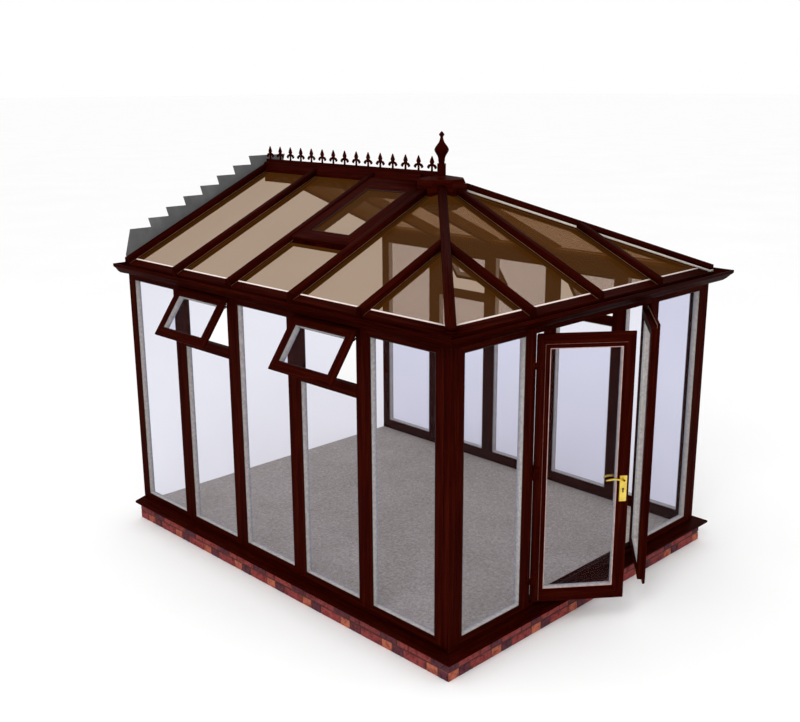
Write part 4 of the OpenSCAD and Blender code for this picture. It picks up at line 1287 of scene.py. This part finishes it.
def front_bar(x):
    """A bar of the front slope, stopped at the hub in the middle and at the hip beside it."""
    cuts = {}
    for key, outset, stop, gap in (("cap", -overhang, cap_out - 0.012, miter_gap),
                                   ("core", depth, hub_out, core_half)):
        cuts[key] = [((0, front + outset, 0), (0, -1, 0)),
                     hip_cut((-1, 1, 0), gap) if x else ((0, hub.y - stop, 0), (0, 1, 0))]
    return bar_layers("front_bar", Vector((x, front, cap_level)), (0, cos_p, sin_p),
                      (0, -sin_p, cos_p), cuts)


bar_places = [side_start + module, hub.y, side_start + 3 * module, side_start + 4 * module,
              back - cap_half]
end_line = even((-cap_half - 0.001, -body_top - 0.002), (-cap_half - 0.001, cap_high - 0.009),
                (-0.024, cap_high + 0.0008))


def end_cover(x, y, along):
    """A plate over the lower end of a cap. It hangs upright whatever the slope of the bar."""
    line = [(side, level / cos_p) for side, level in end_line]
    return length("end_cover", line, [(0.003, 3, (1, 2, 3, 4)), (0.004, 3, (0, 5))],
                  (x, y, cap_level - overhang * tan_p), along, (0, 0, 1), 0.004, rosewood)


jack = -half_width / 2
bars = front_bar(jack) + [end_cover(jack, front - overhang, (0, -1, 0))]
for y in bar_places:
    bars += left_bar(y) + [end_cover(corner.x - overhang, y, (-1, 0, 0))]
roof_bars = join("roof_bars", [work(join("bars", bars), "MIRROR")] + front_bar(0) + [
    end_cover(0, front - overhang, (0, -1, 0))])
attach(roof_bars, "frame")
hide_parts("rafters")

hip_angle = math.atan(tan_p / math.sqrt(2))
hip_fall = tan_p / math.sqrt(2) * math.cos(hip_angle)
hip_half, hip_long = 0.036, 2.8
strip_low, strip_high = -0.013, 0.004
strip_grey = rubber_finish("grey_strip", (196, 188, 178), (216, 208, 198), 0.7)


def hip_level(high, side):
    """The height in the hip's section of a level square to the roof, this far to one side."""
    return high / cos_p * math.cos(hip_angle) - hip_fall * side


def make_hip():
    """Both hips: the left one is made and mirrored, and only the right one keeps its strip."""
    way, upright_way = Vector((1, 1, 0)).normalized(), Vector((0, 0, 1))
    along = way * math.cos(hip_angle) + upright_way * math.sin(hip_angle)
    up = upright_way * math.cos(hip_angle) - way * math.sin(hip_angle)
    foot = corner - along * 0.15

    def cuts_for(outset, hub_gap):
        return [((corner.x + outset, 0, 0), (-1, 0, 0)), ((0, corner.y + outset, 0), (0, -1, 0)),
                (hub - way * hub_gap, way)]

    def bent(half, low, high):
        """A layer bent over the hip, between two heights square to the roof."""
        return [
            (-half, hip_level(low, half)), (-half, hip_level(high, half)),
            (0, hip_level(high, 0)), (half, hip_level(high, half)),
            (half, hip_level(low, half)), (0, hip_level(low, 0)),
        ]

    ridge_line = hip_level(cap_high, 0)
    cap = even(
        (-hip_half, hip_level(strip_high, hip_half)),
        (-hip_half, hip_level(cap_high, hip_half) - 0.004),
        (-0.026, ridge_line - 0.0060), (-0.006, ridge_line + 0.0005),
    ) + [(0, hip_level(strip_high, 0))]
    hip_rounds = [(0.003, 3, (1, 2, 5, 6)), (0.002, 2, (3, 4))]
    hip_seat = hip_half - 0.001
    core = bent(core_half, -body_top - core_deep, -body_top)
    deep = hip_level(-body_top - core_deep, core_half)
    core[5] = (0, deep)
    cover = oblong(body_half, deep - cover_thick, deep)
    layers = []
    for line, rounds, key, finish, outset, gap in (
        (cap, hip_rounds, "cap", rosewood, -overhang, cap_out),
        (bent(hip_seat, strip_low, strip_high), [], "strip", strip_grey, -overhang, cap_out),
        (bent(hip_seat, -cap_thick, strip_low), [], "foot", rosewood, -overhang, cap_out),
        (bent(web_half, -body_top, -web_top), [], "web", rosewood, -overhang, hub_out),
        (core, [], "core", rosewood, depth, hub_out),
        (cover, cover_rounds, "cover", rosewood, depth, hub_out),
    ):
        layers.append(length(f"hip_{key}", line, rounds, foot, along, up, hip_long, finish,
                             cuts_for(outset, gap)))
    both = work(join("hip_bars", layers), "MIRROR")
    slots = [place.material for place in both.material_slots]
    for side in both.data.polygons:
        if slots[side.material_index] == strip_grey and side.center.x < 0:
            side.material_index = slots.index(rosewood)
    return both


hips = make_hip()
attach(hips, "frame")
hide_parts("hip_rafters")


# ---- Roof sheets ----
# Bronze-tinted sheets lie in the slopes between the webs of the bars. Their lower edges are
# closed with a pale plastic channel that shows as a light line above the gutter.

# The bronze sheets carry a faint orange emission: a painted glow that stands in for light scattered
# in the tinted plastic.
bronze_sheet = pane_finish("bronze_sheet", [0.625, 0.560, 0.495, 1], [0.617, 0.552, 0.487, 1],
                           [0.8, 0.72, 0.62, 1], 0.05, painted_glow=[0.72, 0.27, 0.045, 1])
dress(bronze_sheet, "side_roof_panels", "front_roof_panels", "roof_vent_glass")

channel_pale = rubber_finish("pale_channel", (232, 212, 206), (246, 230, 224), 0.5)


def above_sheet(inward, lift):
    """A point of the eaves section, from its distance in from the wall and above the sheets."""
    return -inward - lift * sin_p, sheet_top + inward * tan_p + lift * cos_p


def make_eaves_cover():
    """A foil-wrapped cover over the lower ends of the sheets, with the pale bead behind it."""
    out, foot = overhang, sheet_foot - overhang * tan_p - 0.004
    inner, lift = 0.046, 0.009
    cover = run("eaves_cover", [
        (out + 0.0005, foot), (out + 0.0030, foot),
        (out + 0.0030, above_sheet(-out, lift)[1] - 0.001), above_sheet(inner, lift),
        above_sheet(inner, hair), above_sheet(-out + 0.001, hair),
    ], [(0.003, 3, (2,)), (0.002, 2, (3,)), (0.0008, 1, (1,))], around, rosewood)
    bead = run("sheet_bead", [
        above_sheet(inner + hair, hair), above_sheet(inner + hair, 0.0110),
        above_sheet(inner + 0.013, 0.0090), above_sheet(inner + 0.016, hair),
    ], [(0.0015, 2, (1, 2))], around, channel_pale)
    return join("eaves_cover", [cover, bead])


eaves_cover = make_eaves_cover()
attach(eaves_cover, "frame")


# ---- Roof vent ----
# An opening light in the bay beside the hub: a kerb that stands on a wide flange between two
# bars, and a lid frame on the kerb, notched round the end cap of the ridge.

foil_plain = foil_finish("rosewood_solid", grainy=False)
dress(foil_plain, "roof_vent_frame")
vent_cap_gap = 0.003
vent_y0 = bar_places[1] + cap_half + vent_cap_gap
vent_y1 = bar_places[2] - cap_half - vent_cap_gap
vent_s0 = 0.600 / cos_p
vent_s1 = (half_width - ridge_half - vent_cap_gap - cap_thick * sin_p) / cos_p
vent_side, vent_head = 0.125, 0.185
lid_thick, lid_foot = 0.022, 0.006


def on_slope(piece, up_slope, lift):
    """Stands a piece in the bay of the roof vent, a distance up the slope and clear of it."""
    spot = Vector((corner.x, (vent_y0 + vent_y1) / 2, cap_level))
    return stand(piece, spot + up_left * up_slope + square_left * lift, up_left, square_left)


def make_lid():
    long, wide = vent_s1 - vent_s0, vent_y1 - vent_y0
    start(bpy.ops.mesh.primitive_plane_add, size=1)
    bpy.ops.transform.resize(value=(wide, long, 1), center_override=(0, 0, 0))
    bpy.ops.mesh.inset(thickness=vent_side)
    head_edge = long / 2 - vent_side
    choose("EDGE", lambda e: all(abs(v.co.y - head_edge) < 1e-5 for v in e.verts))
    bpy.ops.transform.translate(value=(0, vent_side - vent_head, 0))
    choose("FACE", lambda f: f.calc_center_median().length < 0.1)
    bpy.ops.mesh.delete(type="FACE")
    choose_all()
    pull(0, 0, lid_thick)
    choose("EDGE", lambda e: all(abs(v.co.z - lid_thick) < 1e-5 for v in e.verts)
           and max(abs((e.verts[0].co - e.verts[1].co).normalized()[i]) for i in (0, 1)) > 0.999)
    bpy.ops.mesh.bevel(offset=0.004, segments=3)
    lid = close("lid", rosewood)

    def way(f):
        x, y = abs(f.center.x), f.center.y
        member = vent_head if y > 0 else vent_side
        return (0, 1, 0) if (wide / 2 - x) / vent_side < (long / 2 - abs(y)) / member else (1, 0, 0)

    return on_slope(lay_grain(lid, way), (vent_s0 + vent_s1) / 2, lid_foot)


lid = make_lid()
start(bpy.ops.mesh.primitive_cylinder_add, vertices=8,
      radius=(cap_out + vent_cap_gap) / math.cos(math.pi / 8), depth=1,
      location=(hub.x, hub.y, cap_level + 0.8), rotation=(0, 0, math.pi / 8))
lid = join("roof_vent_lid_made", [carve(lid, close("notch", rosewood))])
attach(lid, "frame")
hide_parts("roof_vent_lid")


def make_lid_rim():
    """A gasket round the lid's glass."""
    long = vent_s1 - vent_s0 - vent_side - vent_head
    wide = vent_y1 - vent_y0 - 2 * vent_side
    rim = ring("roof_vent_gasket", wide - 2 * hair, long - 2 * hair, 0.006, 0.0035, gasket_rubber,
               (0, 0.001, 0, 0.001))
    shift(rim, tilt=math.pi / 2)
    return on_slope(rim, vent_s0 + vent_side + long / 2, lid_foot + lid_thick - 0.0050)


lid_rim = make_lid_rim()
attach(lid_rim, "frame")


# ---- Ridge ----
# The ridge beam runs from the house to an eight-sided hub where the hips and middle bars
# meet. A folded capping covers it, an eight-sided end cap with a bevelled skirt covers the
# hub, and a flared boss closes the hub underneath.

dress(foil_plain, "ridge_beam")
apex_cap = cap_level + half_width * tan_p
apex_sheet = apex_cap - cap_thick / cos_p
ridge_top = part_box("ridge_cap")[1].z
ridge_flat = 0.028


def make_ridge():
    side_foot = apex_sheet - ridge_half * tan_p
    shoulder = side_foot + 0.038
    line = [
        (0, apex_sheet), (ridge_half, side_foot), (ridge_half, shoulder),
        (ridge_flat, ridge_top), (-ridge_flat, ridge_top), (-ridge_half, shoulder),
        (-ridge_half, side_foot),
    ]
    foot = (0, hub.y + cap_out, 0)
    return length("ridge_capping", line, [(0.006, 3, (2, 5)), (0.004, 3, (3, 4)),
                                          (0.001, 1, (1, 6))],
                  foot, (0, 1, 0), (0, 0, 1), back - foot[1], rosewood)


ridge = make_ridge()
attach(ridge, "frame")
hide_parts("ridge_cap")


def octagon(name, steps, finish, soft=0.0015):
    """An eight-sided turning on the hub, from (distance to a side, height) steps upwards."""
    (first, z0) = steps[0]
    start(bpy.ops.mesh.primitive_cylinder_add, vertices=8, radius=first / math.cos(math.pi / 8),
          depth=steps[1][1] - z0, location=(hub.x, hub.y, (z0 + steps[1][1]) / 2),
          rotation=(0, 0, math.pi / 8))
    settle()
    choose("FACE", lambda f: f.normal.z > 0.9)
    size = steps[1][0] / first
    bpy.ops.transform.resize(value=(size, size, 1))
    for (near, low), (far, high) in zip(steps[1:], steps[2:]):
        pull(0, 0, high - low)
        bpy.ops.transform.resize(value=(far / near, far / near, 1))
    if soft:
        choose("EDGE", lambda e: e.calc_face_angle(0) > 0.3)
        bpy.ops.mesh.bevel(offset=soft, segments=2)
    return close(name, finish)


hub_low, hub_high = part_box("ridge_hub")
ridge_hub = octagon("ridge_hub_made", [(hub_out, hub_low.z), (hub_out, hub_high.z)], rosewood)
lay_grain(ridge_hub, (0, 0, 1))
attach(ridge_hub, "frame")
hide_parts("ridge_hub")

boss_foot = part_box("ridge_boss")[0].z
flare, _, boss_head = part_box("ridge_boss")[1]
boss = octagon("hub_boss", [
    (0.088, boss_foot), (0.100, boss_foot + 0.006), (0.122, boss_foot + 0.010),
    (0.140, boss_foot + 0.026), (flare - 0.004, boss_head - 0.012), (flare, boss_head - 0.008),
    (flare, boss_head),
], rosewood)
lay_grain(boss, (0, 0, 1))
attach(boss, "frame")
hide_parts("ridge_boss")


def roof_cutter():
    """A block with the shape of the roof under the bar caps, to fit the end cap on."""
    start(bpy.ops.mesh.primitive_cube_add, size=1, location=(hub.x, hub.y, apex_cap - 0.5))
    level = apex_cap - cap_thick / cos_p
    for way in ((1, 0), (-1, 0), (0, -1)):
        plane = (way[0] * sin_p, way[1] * sin_p, cos_p)
        choose_all()
        bpy.ops.mesh.bisect(plane_co=(hub.x, hub.y, level), plane_no=plane, use_fill=True,
                            clear_outer=True)
    return close("cutter", rosewood)


def make_end_cap():
    skirt, bevel_top = apex_cap - 0.038, ridge_top - 0.026
    bevel, ledge = 0.024, 0.007
    cap = octagon("end_cap_made", [
        (cap_out, apex_cap - 0.125), (cap_out, skirt), (cap_out - bevel, bevel_top),
        (cap_out - bevel - ledge, bevel_top + 0.0005), (0.031, ridge_top),
    ], rosewood, 0)
    hollow = octagon("hollow", [
        (hub_out + hair, apex_cap - 0.3), (hub_out + hair, apex_cap - 0.0098),
    ], rosewood, 0)
    cutter = roof_cutter()
    carve(carve(cap, hollow), cutter)
    work(cap, "BEVEL", width=0.002, segments=2, limit_method="ANGLE", angle_limit=0.35)
    bpy.ops.object.shade_smooth_by_angle(angle=math.radians(30))

    def way(f):
        out = Vector((f.center.x - hub.x, f.center.y - hub.y, 0))
        return (-out.y, out.x, 0) if out.length > 0.02 else (1, 0, 0)

    return lay_grain(cap, way)


end_cap = make_end_cap()
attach(end_cap, "frame")
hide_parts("end_cap")


# ---- Cresting and finial ----
# A moulded strip with a row of spear-headed spikes runs along the ridge from the house to the
# hub, and a turned finial on a square block stands on the end cap.

spike_count, spike_pitch = 15, 0.154
spike_tall, spike_thick = 0.123, 0.012
strip_top, strip_half = ridge_top + 0.026, 0.008
first_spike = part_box("cresting")[1].y - 0.35 * spike_pitch
peak_out = cap_out - 0.031


def make_spike():
    """A stem, a pair of barbed arms and a spear head, drawn as half an outline and mirrored."""
    half = [
        (0.0085, 0), (0.0075, 0.010), (0.0075, 0.038), (0.0150, 0.041), (0.0280, 0.032),
        (0.0360, 0.018), (0.0500, 0.025), (0.0530, 0.036), (0.0370, 0.053), (0.0190, 0.058),
        (0.0150, 0.063), (0.0235, 0.073), (0.0160, 0.093), (0, spike_tall),
    ]
    outline = half + [(-x, z) for x, z in reversed(half[:-1])]
    draw(outline, [(0.002, 2, (3, 4, 8))])
    bpy.ops.transform.translate(value=(0, -spike_thick / 2, 0))
    pull(0, spike_thick, 0)
    choose("EDGE", lambda e: abs(e.verts[0].co.y - e.verts[1].co.y) < 1e-6
           and abs(abs(e.verts[0].co.y) - spike_thick / 2) < 1e-5)
    bpy.ops.mesh.bevel(offset=0.0022, segments=2)
    spike = close("spike", rosewood, 40)
    collar = disc("collar", 0.0095, 0.013, rosewood, 14, 0.003)
    shift(collar, z=0.014, tilt=math.pi / 2)
    return lay_grain(join("spike", [spike, collar]), (0, 0, 1))


def make_cresting():
    spikes = shift(make_spike(), 0, first_spike, strip_top - 0.002, math.pi / 2)
    work(spikes, "ARRAY", count=spike_count, use_relative_offset=False,
         use_constant_offset=True, constant_offset_displace=(0, -spike_pitch, 0), offset_u=0.31)
    reach = back - hub.y
    line = [
        (0.031, ridge_top), (peak_out, ridge_top - 0.026), (cap_out, ridge_top - 0.026),
        (cap_out, ridge_top), (reach, ridge_top), (reach, strip_top), (0.031, strip_top),
    ]
    draw(line)
    bpy.ops.transform.translate(value=(0, -strip_half, 0))
    pull(0, 2 * strip_half, 0)
    choose("EDGE", lambda e: all(abs(v.co.z - strip_top) < 1e-5 for v in e.verts))
    bpy.ops.mesh.bevel(offset=0.003, segments=3)
    strip = close("strip", rosewood)
    shift(strip, 0, hub.y, 0, math.pi / 2)
    lay_grain(strip, (0, 1, 0))
    return join("ridge_cresting", [spikes, strip])


cresting = make_cresting()
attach(cresting, "frame")
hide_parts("cresting")


def make_finial():
    block_half, block_high = 0.026, 0.093
    base = block("finial_block", 0, 0, block_high / 2, 2 * block_half, 2 * block_half,
                 block_high, rosewood, 0.003, 3)
    profile = [
        (0.025, 0.092), (0.025, 0.096), (0.0235, 0.100), (0.0260, 0.108), (0.0275, 0.120),
        (0.0285, 0.134), (0.032, 0.148), (0.041, 0.164), (0.050, 0.178), (0.0575, 0.193),
        (0.0590, 0.202), (0.0560, 0.213), (0.047, 0.229), (0.034, 0.246), (0.0240, 0.260),
        (0.0180, 0.274), (0.0135, 0.290), (0.0115, 0.303), (0.0140, 0.308), (0.0210, 0.317),
        (0.0220, 0.323), (0.0175, 0.331), (0.0085, 0.342), (0.0008, 0.3495),
    ]
    draw(profile, filled=False)
    bpy.ops.mesh.spin(steps=32, angle=2 * math.pi, center=(0, 0, 0), axis=(0, 0, 1))
    choose_all()
    bpy.ops.mesh.remove_doubles(threshold=0.0001)
    choose("EDGE", lambda e: e.is_boundary)
    bpy.ops.mesh.fill_holes(sides=0)
    turning = close("finial_turning", rosewood, 45)
    finial = join("ridge_finial", [base, turning])
    lay_grain(finial, (0, 0, 1))
    return shift(finial, hub.x, hub.y, ridge_top)


finial = make_finial()
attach(finial, "frame")
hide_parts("finial")


# ---- Lead flashing ----
# Sheet lead dressed against the house wall over the last roof bars, cut in steps to follow
# the courses of the house brickwork. It has dulled to an even grey and is slightly beaten.

lead_thick, lead_steps = 0.003, 7
lead_first, lead_flat, lead_lean = 0.046, 0.218, 0.024
lead_rise_first = 0.268
lead_step = (half_width - lead_first - lead_flat) / lead_steps
lead_rise = lead_step * tan_p * 0.93


def lead_finish():
    material, tree, place = new_finish("dull_lead")
    cloud = noise(tree, place, 7, 6, 0.6)["Fac"]
    beat = add(tree, "TexVoronoi", {"Vector": place, "Scale": 34}).outputs["Distance"]
    shade = ramp(tree, cloud, [
        (0.3, (84, 85, 87)), (0.55, (95, 95, 96)), (0.75, (106, 106, 106)),
    ])
    return skin(material, shade, (cloud, 0.9, 0.7), (0.25, 0.001, beat), 0.1)


def make_flashing():
    first_top = cap_level + lead_rise_first
    left = [(-half_width - 0.012, cap_level + 0.048)]
    for n in range(lead_steps):
        x, z = -half_width + lead_first + n * lead_step, first_top + n * lead_rise
        left += [(x, z), (x + lead_step + lead_lean, z)]
    left.append((-half_width + lead_first + lead_steps * lead_step,
                 first_top + lead_steps * lead_rise))
    apex_foot = sheet_foot + half_width * tan_p
    draw(even(*left) + [(half_width, sheet_foot), (0, apex_foot), (-half_width, sheet_foot)])
    bpy.ops.transform.translate(value=(0, back + hair, 0))
    pull(0, lead_thick - 2 * hair, 0)
    choose_all()
    bpy.ops.mesh.normals_make_consistent()
    choose("EDGE", lambda e: abs(e.verts[0].co.y - e.verts[1].co.y) < 1e-6)
    bpy.ops.mesh.bevel(offset=0.0007, segments=2)
    return close("lead_sheet", lead_finish())


flashing = make_flashing()
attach(flashing, "frame")
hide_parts("lead_flashing")


# ---- Floor, light and camera ----
# A plain pale studio floor, an even white room, one soft light from over the camera's left
# shoulder, and the camera.

floor_wide = 700


def floor_stage():
    start(bpy.ops.mesh.primitive_plane_add, size=floor_wide, location=(0, 0, -0.001))
    material, tree, place = new_finish("studio_floor")
    shade = ramp(tree, noise(tree, place, 0.4, 2)["Fac"], [
        (0.3, [0.97, 0.97, 0.97, 1]), (0.7, [0.99, 0.99, 0.99, 1]),
    ])
    matt = add(tree, "BsdfPrincipled", {
        "Base Color": shade, "Roughness": 0.9, "Specular IOR Level": 0.1,
    })
    add(tree, "OutputMaterial", {"Surface": matt.outputs["BSDF"]})
    return close("studio_floor", material)


floor_stage()

scene = bpy.context.scene
scene.view_settings.view_transform = "Standard"
world = bpy.data.worlds.new("white_room")
world.use_nodes = True
world.node_tree.nodes["Background"].inputs["Color"].default_value = (1, 1, 1, 1)
world.node_tree.nodes["Background"].inputs["Strength"].default_value = 1.0
scene.world = world

bpy.ops.object.select_all(action="DESELECT")
bpy.ops.object.light_add(type="AREA", location=(-7.5, -5.0, 8.5))
key = bpy.context.object
key.name = "key_light"
key.data.shape, key.data.size = "DISK", 5.0
key.data.energy = 350
key.visible_glossy = False
key.rotation_euler = (Vector((0, 0, 1.2)) - key.location).to_track_quat("-Z", "Y").to_euler()

bpy.ops.object.camera_add(location=(-6.1969, -6.2185, 3.9173))
camera = bpy.context.object
yaw, pitch, roll = math.radians(-44.3386), math.radians(90 - 14.9472), math.radians(-0.2793)
camera.rotation_euler = (
    Matrix.Rotation(yaw, 3, "Z") @ Matrix.Rotation(pitch, 3, "X") @ Matrix.Rotation(roll, 3, "Z")
).to_euler()
camera.data.lens, camera.data.sensor_width = 46.56, 36.0
camera.data.clip_end = 900
scene.camera = camera
